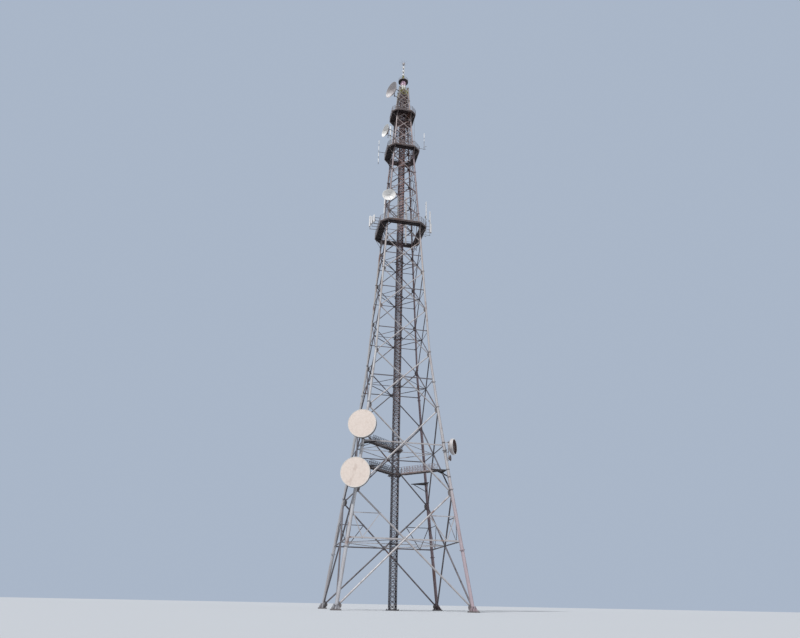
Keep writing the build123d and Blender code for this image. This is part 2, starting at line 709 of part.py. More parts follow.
def build_all():
    front_left = leg()
    for name, turn in (("front_left", 0), ("front_right", 90), ("back_right", 180), ("back_left", 270)):
        save(front_left.rotate(Axis.Z, turn), f"leg_{name}")
    build_sides()
    for level in range(PLAN_LEVELS):
        save(plan_bracing(level), f"plan_bracing_{level + 1}")
    save(core_foot(), "core_foot")
    big_z = platform_size("big_platform")[0]
    for name, z0, z1 in (("core_lower", CORE_FOOT_T, MIDDLE_KNEE_Z), ("core_middle", MIDDLE_KNEE_Z, big_z),
                         ("core_upper", big_z, LEG_TOP)):
        save(core_section(z0, z1), name)
    high_bridge_z = crossing(1) + PLAN_BAR / 2
    low_bridge_z = at(LOW_BRIDGE_AT)
    save(bridge(-1, -1, high_bridge_z), "high_bridge")
    save(bridge(-1, -1, low_bridge_z), "low_bridge_left")
    save(bridge_arm(1, -1, low_bridge_z), "low_bridge_right")
    save(corner_landing(1, 1, low_bridge_z), "corner_landing")
    for name, (_, _, chamfer, drop) in PLATFORMS.items():
        z, reach = platform_size(name)
        save(platform(z, reach, chamfer, drop, name in FLOORED_PLATFORMS), name)
        save(railing(z, reach, chamfer), f"{name}_railing")
    for name, values in SHROUDED_DISHES.items():
        body, radome = shrouded_dish(*values)
        save(body, name)
        save(radome, f"{name}_radome")
    for name, values in OPEN_DISHES.items():
        save(open_dish(*values), name)
    save(small_dish(), "dish_right_small")
    for name in PANEL_ANTENNAS:
        save(Compound(children=panel_group(name, "big_platform")), name)
    for name, values in WHIPS.items():
        save(whip(*values, "middle_platform"), name)
    for name, values in DECK_POLES.items():
        save(deck_pole(*values), name)
    cap, mast, panels, ring = head()
    save(cap, "head_cap")
    save(mast, "head_mast")
    save(panels, "head_panels")
    save(ring, "ring_platform")
    save(top_mast(), "top_mast")


build_all()
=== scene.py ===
import math

import bpy
from mathutils import Matrix, Vector


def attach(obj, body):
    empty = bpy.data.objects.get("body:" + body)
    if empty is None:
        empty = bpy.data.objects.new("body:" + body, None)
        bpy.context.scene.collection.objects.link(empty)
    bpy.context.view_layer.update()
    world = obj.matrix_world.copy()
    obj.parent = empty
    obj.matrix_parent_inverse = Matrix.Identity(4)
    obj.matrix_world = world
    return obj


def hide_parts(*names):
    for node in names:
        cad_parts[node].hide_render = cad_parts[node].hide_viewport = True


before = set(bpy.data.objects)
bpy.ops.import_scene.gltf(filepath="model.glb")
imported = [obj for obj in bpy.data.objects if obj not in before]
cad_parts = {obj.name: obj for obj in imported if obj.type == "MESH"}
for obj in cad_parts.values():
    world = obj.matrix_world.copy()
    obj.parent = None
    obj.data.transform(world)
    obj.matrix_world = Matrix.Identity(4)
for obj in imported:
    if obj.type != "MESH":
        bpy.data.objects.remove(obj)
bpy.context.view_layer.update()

# Four-legged lattice tower for radio relay dishes, one tenth of its real size.
# Lengths are millimetres until a piece is made, which turns them into metres.
MM = 0.001
RIGHT = Vector((1, 0, 0))
BACK = Vector((0, 1, 0))
UP = Vector((0, 0, 1))
CORNERS = ((-1, -1), (1, -1), (1, 1), (-1, 1))
SIDES = {"front": 0, "right": 90, "back": 180, "left": 270}

# Sizes and places as in the CAD source. KNEES are heights, each with half the spacing of the legs there.
KNEES = [(0.0, 835.0), (1418.0, 647.0), (2593.0, 506.0), (3471.0, 413.0)]
SPIRE_TAPER = 0.0572
SPIRE_PANELS = 14
PANEL_RATIO = 0.94
TIER_FIRST_PANEL = [0, 1, 2, 3, 6, 11]
LEG_DIAMETERS = [46.0, 42.0, 36.0, 30.0, 26.0, 22.0]
BRACE_WIDTHS = [22.0, 20.0, 18.0, 14.0, 11.0, 9.0]
BRACE_DEPTHS = [10.0, 9.0, 8.0, 7.0, 5.0, 4.0]
FOOT_NODE_Z = 40.0
HEAD_NODE_DROP = 14.0
FOOT_PLATE = 120.0
FOOT_PLATE_T = 14.0
FOOT_BOLT_SPACING = 88.0
CORE_HALF = 50.0
CORE_FOOT = 150.0
CORE_FOOT_T = 12.0
PLAN_LEVELS = 6
PLAN_BAR = 9.0
PLAN_COLLAR = 12.0
LOW_BRIDGE_AT = 1.27
BRIDGE_WIDTH = 84.0
DECK_T = 5.0
BRIDGE_RAIL_H = 96.0
LANDING_REACH = 222.0
LANDING_HALF = 92.0
LANDING_T = 12.0
LANDING_STRUT_DROP = 100.0
LANDING_INSET = 16.0
# Place in panels, overhang past the leg centres, chamfer, and drop of the knee braces.
PLATFORMS = {
    "big_platform": (6.54, 123.5, 122.0, 150.0),
    "middle_platform": (10.429, 118.0, 112.0, 120.0),
    "upper_platform": (13.49, 102.0, 88.0, 95.0),
}
PLATFORM_GAP = 3.0
EDGE_BEAM_H = 16.0
EDGE_BEAM_W = 8.0
RAILING_H = 112.0
# The leg's signs, place in panels, heading, diameter, and how far ahead of the leg the rim is.
SHROUDED_DISHES = {
    "dish_front_high": (-1, -1, 1.715, -20.0, 386.0, 206.0),
    "dish_front_low": (-1, -1, 1.148, -17.0, 386.0, 206.0),
}
SHROUD_DEPTH = 62.0
SHROUD_RIM = 6.0
# The same, then the skirt's depth and how far below the middle the pipe reaches at least.
OPEN_DISHES = {
    "dish_right": (1, -1, 1.534, 56.0, 222.0, 150.0, 34.0, 185.0),
    "dish_spire_low": (-1, -1, 7.516, -15.0, 230.0, 136.0, 0.0, 90.0),
    "dish_spire_middle": (-1, -1, 11.4, -70.0, 246.0, 218.0, 0.0, 140.0),
    "dish_spire_high": (-1, -1, 15.8, -63.0, 325.0, 193.0, 0.0, 125.0),
}
SMALL_DISH_D = 84.0
SMALL_DISH_DROP = 150.0
DISH_SHELL = 3.0
DISH_DEPTH_RATIO = 0.22
DISH_HUB_PER_D = 0.07
MOUNT_GAP = 8.0
MOUNT_SPREAD = 0.3
MOUNT_PIPE_PER_SPREAD = 1.25
PANEL_HEADINGS = {"panel_antennas_left": -50.0, "panel_antennas_right": 30.0}
# Side, y, distance past the platform's edge, height of the foot above its floor, width and height.
PANEL_ANTENNAS = {
    "panel_antennas_left": [(-1, -20.0, 134.0, 29.0, 32.0, 220.0), (-1, -110.0, 113.0, 30.0, 26.0, 150.0),
                            (-1, -200.0, 90.0, 9.0, 32.0, 145.0)],
    "panel_antennas_right": [(1, -20.0, 55.0, 340.0, 14.0, 380.0), (1, -60.0, 115.0, 240.0, 22.0, 246.0),
                             (1, -150.0, 101.0, -21.0, 36.0, 188.0)],
}
PANEL_T = 13.0
PANEL_PIPE = 7.0
CAP_HALF = 96.0
CAP_BEAM = 22.0
CAP_CROSS = 10.0
CAP_T = 8.0
HEAD_MAST_HALF = 32.0
HEAD_PANEL_W = 54.0
HEAD_PANEL_T = 16.0
HEAD_PANEL_H = 101.0
HEAD_PANEL_GAP = 9.0
HEAD_TIERS = 2
RING_R = 96.0
RING_T = 6.0
TOP_MAST_H = 534.0
TOP_TIP = 6.0
TOP_DRUM_D = 50.0
TOP_DRUM_H = 50.0
TOP_DRUM_PITCH = 104.0
TOP_DRUMS = 4
TOP_STRUT_REACH = 52.0
TOP_STRUT_H = 165.0
# Side, y, distance past the edge, height of the foot, length, and whether the arm is on the railing.
WHIPS = {
    "whip_left": (-1, 0.0, 138.0, -296.0, 565.0, False),
    "whip_right": (1, -130.0, 100.0, 256.0, 220.0, True),
}
# Platform, x, y, and the place of the top in panels.
DECK_POLES = {
    "deck_pole_left": ("big_platform", -300.0, -45.0, 7.89),
    "deck_pole_right": ("big_platform", 290.0, 0.0, 8.97),
    "deck_pole_upper": ("middle_platform", 230.0, -20.0, 13.42),
}

# Fittings that only the scene has.
SPLICE_LEVELS = (1, 2, 3, 5, 7, 9, 11, 13, 15)
FLANGE_T = 3.5
FLANGE_BOLTS = 10
GUSSET_T = 2.5
CORE_BAY = 62.0
CORE_ANGLE = 10.0
RUNG_PITCH = 30.0
CABLE_R = 3.0
# Feeders in the back tray of each section of the core.
BACK_FEEDERS = {"core_lower": 0, "core_middle": 4, "core_upper": 4}
# Place beside the core and the heights of both ends.
CABLE_LADDERS = [(95.0, -20.0, 5640.0, 6640.0), (-57.0, -57.0, 5886.0, 6620.0)]
GRATING_ROW = 7.0
GRATING_ROD = 9.0
JOIST_PITCH = 42.0
POST_PITCH = 74.0
HEM = 12.0
POST_R = 11.0
ARM_LOW = -DECK_T - EDGE_BEAM_H / 2
ARM_HIGH = RAILING_H - 5
HEAD_PANEL_DROP = 45.0
RING_RAIL_H = 62.0
# First panels with close lattice, on all sides and on the left and right ones.
FINE_FROM = 10
SIDE_FINE_FROM = 6
TUBE_SIDES = 20
BOWL_SIDES = 64
SHARP_ANGLE = math.radians(35)
BOLT_TURN = Vector((0.3, 0.5, 0.8))

# Camera fitted to the photograph's leg joints, in metres and degrees.
CAMERA_AT = (-1.6885, -8.4563, 0.08)
CAMERA_TURNS = (11.469, 25.658, 1.111)
CAMERA_LENS = 26.686


def half(z):
    """Half the spacing of the leg centres at height z."""
    for (z0, h0), (z1, h1) in zip(KNEES, KNEES[1:]):
        if z <= z1:
            return h0 + (h1 - h0) * (z - z0) / (z1 - z0)
    return KNEES[-1][1] - SPIRE_TAPER * (z - KNEES[-1][0])


LEVELS = [z for z, _ in KNEES]
for _ in range(SPIRE_PANELS):
    LEVELS.append(LEVELS[-1] + PANEL_RATIO * 2 * half(LEVELS[-1]))
LAST_PANEL = len(LEVELS) - 2
LEG_TOP = LEVELS[-1]
CAP_TOP = LEG_TOP + CAP_T
RING_Z = CAP_TOP + HEAD_PANEL_GAP + HEAD_TIERS * (HEAD_PANEL_H + HEAD_PANEL_GAP)
TOP_Z = RING_Z + RING_T + TOP_MAST_H


def at(place):
    """Height of a place counted in panels from the ground."""
    panel = int(place)
    return LEVELS[panel] + (place - panel) * (LEVELS[panel + 1] - LEVELS[panel])


def tier(panel):
    return max(i for i, first in enumerate(TIER_FIRST_PANEL) if panel >= first)


def tier_at(z):
    return tier(max(i for i, level in enumerate(LEVELS[:-1]) if z >= level))


def leg_radius(z):
    return LEG_DIAMETERS[tier_at(z)] / 2


def node_z(level):
    """Height where the diagonals of a level meet the leg."""
    if level == 0:
        return FOOT_NODE_Z
    return LEVELS[level] - (HEAD_NODE_DROP if LEVELS[level] == LEG_TOP else 0)


def crossing(panel):
    """Height where the two diagonals of a panel cross."""
    low, high = node_z(panel), node_z(panel + 1)
    return low + (high - low) * half(low) / (half(low) + half(high))


def leg_point(sx, sy, z):
    return Vector((sx * half(z), sy * half(z), z))


def leg_axis(sx, sy, z):
    return (leg_point(sx, sy, z + 1) - leg_point(sx, sy, z)).normalized()


def side_point(x, z):
    return Vector((x, -half(z), z))


def side_normal(z0, z1):
    """Outward normal of the front side between two heights."""
    return Vector((0, -1, (half(z0) - half(z1)) / (z1 - z0))).normalized()


def heading(angle):
    """Unit vector, the angle measured from the front towards +X."""
    return Vector((math.sin(math.radians(angle)), -math.cos(math.radians(angle)), 0))


# Meshes: a Build gathers faces, each with the name of its finish.


class Build:
    def __init__(self):
        self.points, self.faces, self.paints = [], [], []

    def add(self, points, faces, paints):
        first = len(self.points)
        self.points += points
        self.faces += [[first + i for i in face] for face in faces]
        self.paints += paints

    def join(self, other):
        self.add(other.points, other.faces, other.paints)

    def moved(self, change, flip=False):
        """A copy moved by a matrix; a mirror image needs its faces flipped."""
        copy = Build()
        copy.add([change @ p for p in self.points], [f[::-1] if flip else f for f in self.faces], self.paints)
        return copy

    def turned(self, degrees):
        """A copy turned about the tower's centre line."""
        return self.moved(Matrix.Rotation(math.radians(degrees), 3, "Z"))

    def around(self, part):
        """Join a part of the front side once on each side."""
        for turn in SIDES.values():
            self.join(part.turned(turn))


def square_to(axis, near):
    """Two unit vectors square to an axis, the first as near as it can be to the given one."""
    axis = axis.normalized()
    u = near - axis * near.dot(axis)
    if u.length < 0.01:
        u = RIGHT - axis * axis.x
    u.normalize()
    return u, axis.cross(u)


def disc(radius, sides=TUBE_SIDES):
    turns = [2 * math.pi * i / sides for i in range(sides)]
    return [(radius * math.cos(turn), radius * math.sin(turn)) for turn in turns]


def spokes(axis, count):
    """Unit vectors square to an axis, evenly round it."""
    u, v = square_to(axis, UP)
    return [u * c + v * s for c, s in disc(1, count)]


def hoops(origin, axis, profile, sides):
    """Rings of points round an axis, from (distance along it, radius) pairs."""
    outs = spokes(axis, sides)
    return [[origin + axis * along + out * radius for out in outs] for along, radius in profile]


def square(reach, z, centre=Vector()):
    return [centre + Vector((x * reach, y * reach, z)) for x, y in CORNERS]


def centred(points, deep, wide):
    return [(x - deep / 2, y - wide / 2) for x, y in points]


def flat(thick, wide):
    return centred([(0, 0), (thick, 0), (thick, wide), (0, wide)], thick, wide)


def angle_iron(wide, deep, thick):
    """L outline: the wide leaf along the second direction, the deep one along the first."""
    return centred([(0, 0), (deep, 0), (deep, thick), (thick, thick), (thick, wide), (0, wide)], deep, wide)


def channel(wide, deep, thick):
    return centred([(0, 0), (deep, 0), (deep, thick), (thick, thick), (thick, wide - thick),
                    (deep, wide - thick), (deep, wide), (0, wide)], deep, wide)


def i_beam(high, wide, thick):
    h, w, t = high / 2, wide / 2, thick / 2
    lower = [(-h, -w), (-h + thick, -w), (-h + thick, -t), (h - thick, -t), (h - thick, -w), (h, -w)]
    return lower + [(x, -y) for x, y in lower[::-1]]


def rounded(thick, wide, radius, steps=4):
    """Rectangle outline with rounded corners."""
    points = []
    for k, (sx, sy) in enumerate(((1, 1), (-1, 1), (-1, -1), (1, -1))):
        for i in range(steps + 1):
            turn = math.pi / 2 * (k + i / steps)
            points.append((sx * (thick / 2 - radius) + radius * math.cos(turn),
                           sy * (wide / 2 - radius) + radius * math.sin(turn)))
    return points


def skin(b, rings, paint, closed=False, caps=True):
    """Faces that join rings of points in turn."""
    n, count = len(rings[0]), len(rings)
    faces = []
    for k in range(count if closed else count - 1):
        low, high = k * n, (k + 1) % count * n
        faces += [(low + i, low + (i + 1) % n, high + (i + 1) % n, high + i) for i in range(n)]
    if caps and not closed:
        faces += [tuple(range(n))[::-1], tuple(range((count - 1) * n, count * n))]
    b.add([p for ring in rings for p in ring], faces, [paint] * len(faces))


def bar(b, p, q, outline, paint, near=UP, end=None):
    """Bar from p to q; the outline's first direction runs along near. end is the outline at q."""
    p, q = Vector(p), Vector(q)
    u, v = square_to(q - p, near)
    ends = ((p, outline), (q, end or outline))
    skin(b, [[spot + u * x + v * y for x, y in shape] for spot, shape in ends], paint)


def tube(b, p, q, radius, paint, sides=TUBE_SIDES, end=None):
    bar(b, p, q, disc(radius, sides), paint, end=end and disc(end, sides))


def upright(b, spot, low, high, outline, paint, near=UP, end=None):
    """Bar between two heights above a spot."""
    spot = Vector(spot)
    bar(b, spot + UP * low, spot + UP * high, outline, paint, near, end)


def pole(b, spot, low, high, radius, paint, sides=TUBE_SIDES, end=None):
    """Tube between two heights above a spot."""
    upright(b, spot, low, high, disc(radius, sides), paint, end=end and disc(end, sides))


def sweep(b, path, outline, paint, near=UP, closed=True):
    """Bar of a constant outline along a flat path with mitred corners; near is square to the path."""
    rings = []
    for i, point in enumerate(path):
        steps = []
        if i or closed:
            steps.append((point - path[i - 1]).normalized())
        if i < len(path) - 1 or closed:
            steps.append((path[(i + 1) % len(path)] - point).normalized())
        along = sum(steps, Vector()).normalized()
        side = along.cross(near) / max(0.3, along.dot(steps[0]))
        rings.append([point + near * x + side * y for x, y in outline])
    skin(b, rings, paint, closed)


def plate(b, corners, through, paint="plates"):
    """Flat plate from its corners in order and the vector through it."""
    corners = [Vector(c) for c in corners]
    normal = sum((a.cross(c) for a, c in zip(corners, corners[1:] + corners[:1])), Vector())
    if normal.dot(through) < 0:
        corners.reverse()
    skin(b, [corners, [c + through for c in corners]], paint)


def spin(b, origin, axis, profile, paint, sides=TUBE_SIDES):
    """Body turned about an axis, from (distance along it, radius) pairs that start and end at radius 0."""
    middle = hoops(origin, axis, profile[1:-1], sides)
    skin(b, middle, paint, caps=False)
    for (along, _), ring, turn in ((profile[0], middle[0], -1), (profile[-1], middle[-1], 1)):
        fan = [(sides, i, (i + 1) % sides)[::turn] for i in range(sides)]
        b.add(ring + [origin + axis * along], fan, [paint] * sides)


def collar(b, origin, axis, inner, outer, length, paint="plates", sides=TUBE_SIDES):
    """Ring of rectangular section round an axis, from origin along it."""
    profile = [(0, inner), (0, outer), (length, outer), (length, inner)]
    skin(b, hoops(Vector(origin), axis, profile, sides), paint, closed=True)


def band(b, spot, inner, outer, length, paint="plates", sides=TUBE_SIDES):
    """Ring round an upright pipe, half above and half below the spot."""
    collar(b, Vector(spot) - UP * (length / 2), UP, inner, outer, length, paint, sides)


def bolt(b, spot, axis, radius, length):
    spot = Vector(spot)
    bar(b, spot, spot + axis * length, disc(radius, 6), "bolts", near=BOLT_TURN)


def bolt_ring(b, centre, axis, reach, count, radius, length):
    for out in spokes(axis, count):
        bolt(b, centre + out * reach, axis, radius, length)


# Finishes.


def feed(tree, made, inputs):
    """Set or link the inputs of a node."""
    for key, value in inputs.items():
        socket = made.inputs[key]
        if isinstance(value, bpy.types.NodeSocket):
            tree.links.new(value, socket)
        else:
            socket.default_value = (*value, 1) if socket.type == "RGBA" else value


def node(tree, kind, inputs=None, **values):
    made = tree.nodes.new(kind)
    for key, value in values.items():
        setattr(made, key, value)
    feed(tree, made, inputs or {})
    return made


def spread_out(tree, value, low, high):
    """The value made to run from 0 at low to 1 at high."""
    limits = {"From Min": low, "From Max": high, "Value": value}
    return node(tree, "ShaderNodeMapRange", limits).outputs["Result"]


def noise(tree, where, scale, stretch=(1, 1, 1), detail=5.0, low=0.4, high=0.6):
    """Noise from object coordinates, which runs from 0 at low to 1 at high."""
    place = node(tree, "ShaderNodeMapping", {"Scale": stretch, "Vector": where}).outputs["Vector"]
    texture = node(tree, "ShaderNodeTexNoise", {"Scale": scale, "Detail": detail, "Vector": place})
    return spread_out(tree, texture.outputs["Fac"], low, high)


def blend(tree, factor, first, second, share):
    """Mix of two colours, each a socket or a triple, by a factor socket times a share."""
    scaled = node(tree, "ShaderNodeMath", {0: factor, 1: share}, operation="MULTIPLY").outputs[0]
    mix = node(tree, "ShaderNodeMix", {0: scaled}, data_type="RGBA")
    sockets = [i for i, socket in enumerate(mix.inputs) if socket.type == "RGBA"]
    feed(tree, mix, dict(zip(sockets, (first, second))))
    return [socket for socket in mix.outputs if socket.type == "RGBA"][0]


def by_height(tree, where, tones):
    """Colour that changes up the tower, from its values by height in metres."""
    low, high = min(tones), max(tones)
    z = node(tree, "ShaderNodeSeparateXYZ", {"Vector": where}).outputs["Z"]
    ramp = node(tree, "ShaderNodeValToRGB", {"Fac": spread_out(tree, z, low, high)})
    stops = ramp.color_ramp.elements
    while len(stops) < len(tones):
        stops.new(0.5)
    for stop, (height, tone) in zip(stops, tones.items()):
        stop.position = (height - low) / (high - low)
        stop.color = (*tone, 1)
    return ramp.outputs["Color"]


FINISHES = {}


def finish(name, colour, stain, stain_share=0.5, rust=(0.16, 0.07, 0.04), rust_low=0.62, rust_share=0.8,
           rough=(0.45, 0.7), metallic=0.0, grain=350.0, bump=0.1, cells=None, blotch=6.0,
           streak=(1, 1, 0.12)):
    """Weathered surface. The colour is one triple or its values by height, and stain is that of its dirt."""
    FINISHES[name] = bpy.data.materials.new(name)
    FINISHES[name].use_nodes = True
    tree = FINISHES[name].node_tree
    where = node(tree, "ShaderNodeTexCoord").outputs["Object"]
    lowest = colour
    if isinstance(colour, dict):
        lowest = colour[min(colour)]
        colour = by_height(tree, where, colour)
    mottle = noise(tree, where, 40.0, detail=3.0, low=0.35, high=0.65)
    streaks = noise(tree, where, blotch * 4, streak, low=0.45, high=0.7)
    spots = noise(tree, where, blotch, (1, 1, 0.5), detail=9.0, low=rust_low, high=rust_low + 0.07)
    colour = blend(tree, mottle, colour, tuple(0.82 * c for c in lowest), 0.25)
    colour = blend(tree, streaks, colour, stain, stain_share)
    colour = blend(tree, spots, colour, rust, rust_share)
    wear = node(tree, "ShaderNodeMapRange", {"To Min": rough[0], "To Max": rough[1], "Value": streaks})
    if cells:
        relief = node(tree, "ShaderNodeTexVoronoi", {"Scale": cells, "Vector": where}).outputs["Distance"]
    else:
        relief = noise(tree, where, grain, detail=3.0, low=0.3, high=0.7)
    raised = node(tree, "ShaderNodeBump", {"Strength": bump, "Distance": 0.001, "Height": relief})
    feed(tree, tree.nodes["Principled BSDF"], {
        "Base Color": colour, "Roughness": wear.outputs["Result"], "Metallic": metallic,
        "Normal": raised.outputs["Normal"]})


SILVER = (0.47, 0.465, 0.47)
SPIRE_LEG = {5.0: (0.46, 0.43, 0.41), 5.9: (0.36, 0.31, 0.30), 6.3: (0.23, 0.18, 0.185),
             7.6: (0.23, 0.18, 0.185), 8.1: (0.32, 0.26, 0.25), 8.7: (0.25, 0.20, 0.18),
             9.3: (0.14, 0.12, 0.075)}


def mix_lattice_finishes():
    hammered = {"cells": 260.0, "bump": 0.06, "metallic": 0.25}
    finish("legs", {0: (0.43, 0.43, 0.455), 3: SILVER, **SPIRE_LEG}, (0.26, 0.21, 0.20), 0.45, **hammered)
    finish("legs_pink", {0: (0.44, 0.35, 0.38), 1.2: (0.45, 0.38, 0.40), 1.7: SILVER, 3: SILVER, **SPIRE_LEG},
           (0.26, 0.20, 0.20), 0.45, **hammered)
    # The back right leg is darker than the other legs; part of that darkness is painted shade for the leg at
    # the back, its reddish hue is its own.
    finish("legs_red", {0: (0.22, 0.16, 0.17), 2: (0.25, 0.18, 0.20), 4.5: (0.26, 0.19, 0.20),
                        6.4: (0.20, 0.12, 0.11), 10: (0.16, 0.10, 0.09)},
           (0.13, 0.085, 0.085), rust_low=0.58, metallic=0.15, cells=260.0, bump=0.08)
    finish("braces", {0: (0.42, 0.40, 0.405), 3: (0.40, 0.385, 0.39), 5.4: (0.38, 0.34, 0.33),
                      5.9: (0.34, 0.29, 0.28), 6.3: (0.21, 0.165, 0.17), 7.6: (0.22, 0.17, 0.17),
                      8.1: (0.36, 0.30, 0.29), 8.7: (0.28, 0.23, 0.21), 9.3: (0.16, 0.13, 0.09)},
           (0.22, 0.17, 0.16), 0.45, metallic=0.2, bump=0.08)
    # braces_dark is a darker copy of braces; on the left, right and back sides it is painted shade.
    finish("braces_dark", {0: (0.13, 0.115, 0.125), 3: (0.10, 0.09, 0.10), 5.4: (0.09, 0.065, 0.07),
                           10: (0.085, 0.05, 0.048)}, (0.06, 0.045, 0.045), bump=0.08)
    finish("plates", {0: (0.15, 0.135, 0.135), 10: (0.10, 0.08, 0.075)}, (0.08, 0.06, 0.055), rust_low=0.66,
           rust_share=0.5)
    finish("bolts", (0.34, 0.33, 0.33), (0.2, 0.15, 0.12), metallic=0.5, rough=(0.35, 0.6))
    finish("core", {0: (0.065, 0.06, 0.072), 3.5: (0.06, 0.052, 0.062), 6: (0.062, 0.042, 0.045),
                    10: (0.07, 0.04, 0.04)}, (0.04, 0.03, 0.03), 0.4, rust_low=0.6, rust_share=0.4)
    finish("core_bars", {0: (0.19, 0.165, 0.18), 2.4: (0.20, 0.15, 0.15), 3.2: (0.20, 0.125, 0.115),
                         6: (0.17, 0.09, 0.085), 10: (0.14, 0.075, 0.07)},
           (0.11, 0.08, 0.08), 0.4, rust_low=0.6, rust_share=0.4)
    finish("core_stripe", {6: (0.40, 0.23, 0.21), 7.5: (0.42, 0.24, 0.21), 8: (0.15, 0.08, 0.075)},
           (0.20, 0.10, 0.09), 0.4, rust_share=0.4)
    finish("core_light", {0: (0.34, 0.33, 0.33), 10: (0.28, 0.24, 0.23)}, (0.16, 0.13, 0.11), 0.4,
           metallic=0.25)


def mix_cable_and_deck_finishes():
    finish("cable_brown", {0: (0.085, 0.062, 0.066), 10: (0.10, 0.05, 0.048)}, (0.05, 0.035, 0.035),
           rust_share=0.2, rough=(0.5, 0.7))
    finish("cable", (0.022, 0.020, 0.024), (0.05, 0.042, 0.042), rust_share=0.0, rough=(0.4, 0.6))
    finish("cable_pale", (0.66, 0.63, 0.62), (0.44, 0.39, 0.37), 0.4, rust_share=0.2, rough=(0.5, 0.7))
    # The deck finish is near-black; part of that darkness is painted shade for the undersides of the decks
    # and walkways.
    finish("deck", {0: (0.045, 0.036, 0.038), 5: (0.022, 0.014, 0.015), 10: (0.024, 0.013, 0.014)},
           (0.014, 0.010, 0.010), rust_share=0.2, cells=170.0, bump=0.5)
    finish("deck_edge", {0: (0.19, 0.155, 0.15), 10: (0.18, 0.145, 0.14)}, (0.10, 0.075, 0.07), rust_low=0.6,
           rust_share=0.5)
    finish("rails", {0: (0.20, 0.18, 0.18), 5: (0.24, 0.21, 0.20), 10: (0.22, 0.18, 0.18)},
           (0.12, 0.09, 0.08), rust_share=0.5, metallic=0.15)
    finish("bridge_rails", (0.085, 0.075, 0.08), (0.05, 0.04, 0.04), rust_share=0.4)
    finish("bridge_rails_light", (0.30, 0.25, 0.26), (0.16, 0.12, 0.12), rust_low=0.6, rust_share=0.4)


def mix_dish_and_antenna_finishes():
    # The shroud is darker than the rim; part of that is painted shade for the drum walls of the shrouded
    # dishes.
    finish("shroud", (0.30, 0.27, 0.26), (0.15, 0.12, 0.11), rust_share=0.5, metallic=0.2)
    finish("dish_rim", (0.66, 0.65, 0.63), (0.4, 0.36, 0.31), 0.35, rust_share=0.3)
    finish("dish", (0.77, 0.76, 0.74), (0.58, 0.54, 0.50), 0.3, rust_low=0.68, rust_share=0.25,
           rough=(0.4, 0.6), blotch=9.0)
    # Painted shade: this dark brown stands for the shade on the right dish's inside, on the small dish and on
    # the back of the middle spire dish.
    finish("dish_brown", (0.17, 0.12, 0.11), (0.09, 0.06, 0.055), blotch=12.0)
    finish("dish_grey", (0.46, 0.43, 0.43), (0.29, 0.25, 0.24), 0.4, rust_low=0.66, rust_share=0.4,
           blotch=12.0)
    finish("radome", (0.73, 0.63, 0.565), (0.60, 0.50, 0.44), 0.45, rust=(0.42, 0.32, 0.27), rust_low=0.6,
           rust_share=0.35, rough=(0.6, 0.8), grain=900.0, bump=0.12, blotch=9.0, streak=(1, 1, 0.8))
    smooth = {"grain": 600.0, "bump": 0.04}
    finish("plastic", (0.74, 0.73, 0.73), (0.56, 0.53, 0.52), 0.3, rust_share=0.1, rough=(0.35, 0.5),
           blotch=12.0, **smooth)
    # The pink of the upper head panels is partly painted shade: it stands for the shade under the ring
    # platform.
    finish("plastic_pink", (0.92, 0.64, 0.81), (0.74, 0.46, 0.60), 0.3, rust_share=0.2, rough=(0.3, 0.5),
           blotch=14.0, **smooth)
    finish("drum", (0.85, 0.85, 0.85), (0.72, 0.70, 0.69), 0.2, rust_share=0.0, rough=(0.3, 0.45),
           grain=600.0, bump=0.03, blotch=12.0)
    finish("olive", (0.25, 0.24, 0.04), (0.15, 0.14, 0.03), 0.4, rust_share=0.4)


def add_object(name, data):
    """New object in the scene, from a mesh, a lamp or a camera."""
    made = bpy.data.objects.new(name, data)
    bpy.context.scene.collection.objects.link(made)
    return made


def piece(name, b, cad_node, swap=None):
    """One object in metres from a Build, which stands for its CAD node. swap changes its finishes."""
    swap = swap or {}
    paints = [swap.get(p, p) for p in b.paints]
    used = sorted(set(paints))
    mesh = bpy.data.meshes.new(name)
    mesh.from_pydata([p * MM for p in b.points], [], b.faces)
    for paint in used:
        mesh.materials.append(FINISHES[paint])
    mesh.polygons.foreach_set("material_index", [used.index(p) for p in paints])
    mesh.polygons.foreach_set("use_smooth", [True] * len(paints))
    mesh.update()
    mesh.set_sharp_from_angle(angle=SHARP_ANGLE)
    made = add_object(name, mesh)
    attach(made, "root")
    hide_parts(cad_node)


# Legs: round tubes with flanges, node plates and a stiffened foot.


def gusset(level):
    """Plate on the front left leg for the diagonals of the front side."""
    b = Build()
    z = node_z(level)
    r = leg_radius(min(z, LEG_TOP - 1))
    wide, high = 2.25 * r + 8, 2.1 * r + 8
    low = high if level else 0.35 * high
    lean = side_normal(z - 1, z + 1) if level else side_normal(0, 1)
    along = leg_axis(-1, -1, z)
    centre = leg_point(-1, -1, z) - lean * (GUSSET_T / 2)
    outline = [(0.5 * r, -low), (r + 3, -low), (wide, -0.4 * low), (wide, 0.4 * high), (r + 3, high),
               (0.5 * r, high)]
    plate(b, [centre + RIGHT * x + along * y for x, y in outline], lean * GUSSET_T,
          "plates" if level < FINE_FROM else "legs")
    for y in (-0.55, -0.25, 0.25, 0.55):
        if y * high > -low:
            spot = centre + RIGHT * (wide - 0.28 * (wide - r)) + along * (y * 0.75 * high)
            bolt(b, spot - lean * 1.6, lean, 1.9, GUSSET_T + 3.2)
    return b


def splice(b, z):
    """Pair of bolted flanges on the front left leg."""
    centre, axis, r = leg_point(-1, -1, z), leg_axis(-1, -1, z), leg_radius(z)
    outer = r * 1.42 + 2.5
    for side in (-1, 1):
        collar(b, centre + axis * (0.3 * side), axis * side, r * 0.9, outer, FLANGE_T, "legs", 32)
    bolt_ring(b, centre - axis * (FLANGE_T + 2.2), axis, (r + outer) / 2 + 0.5, FLANGE_BOLTS, 1.7,
              2 * FLANGE_T + 4.4)


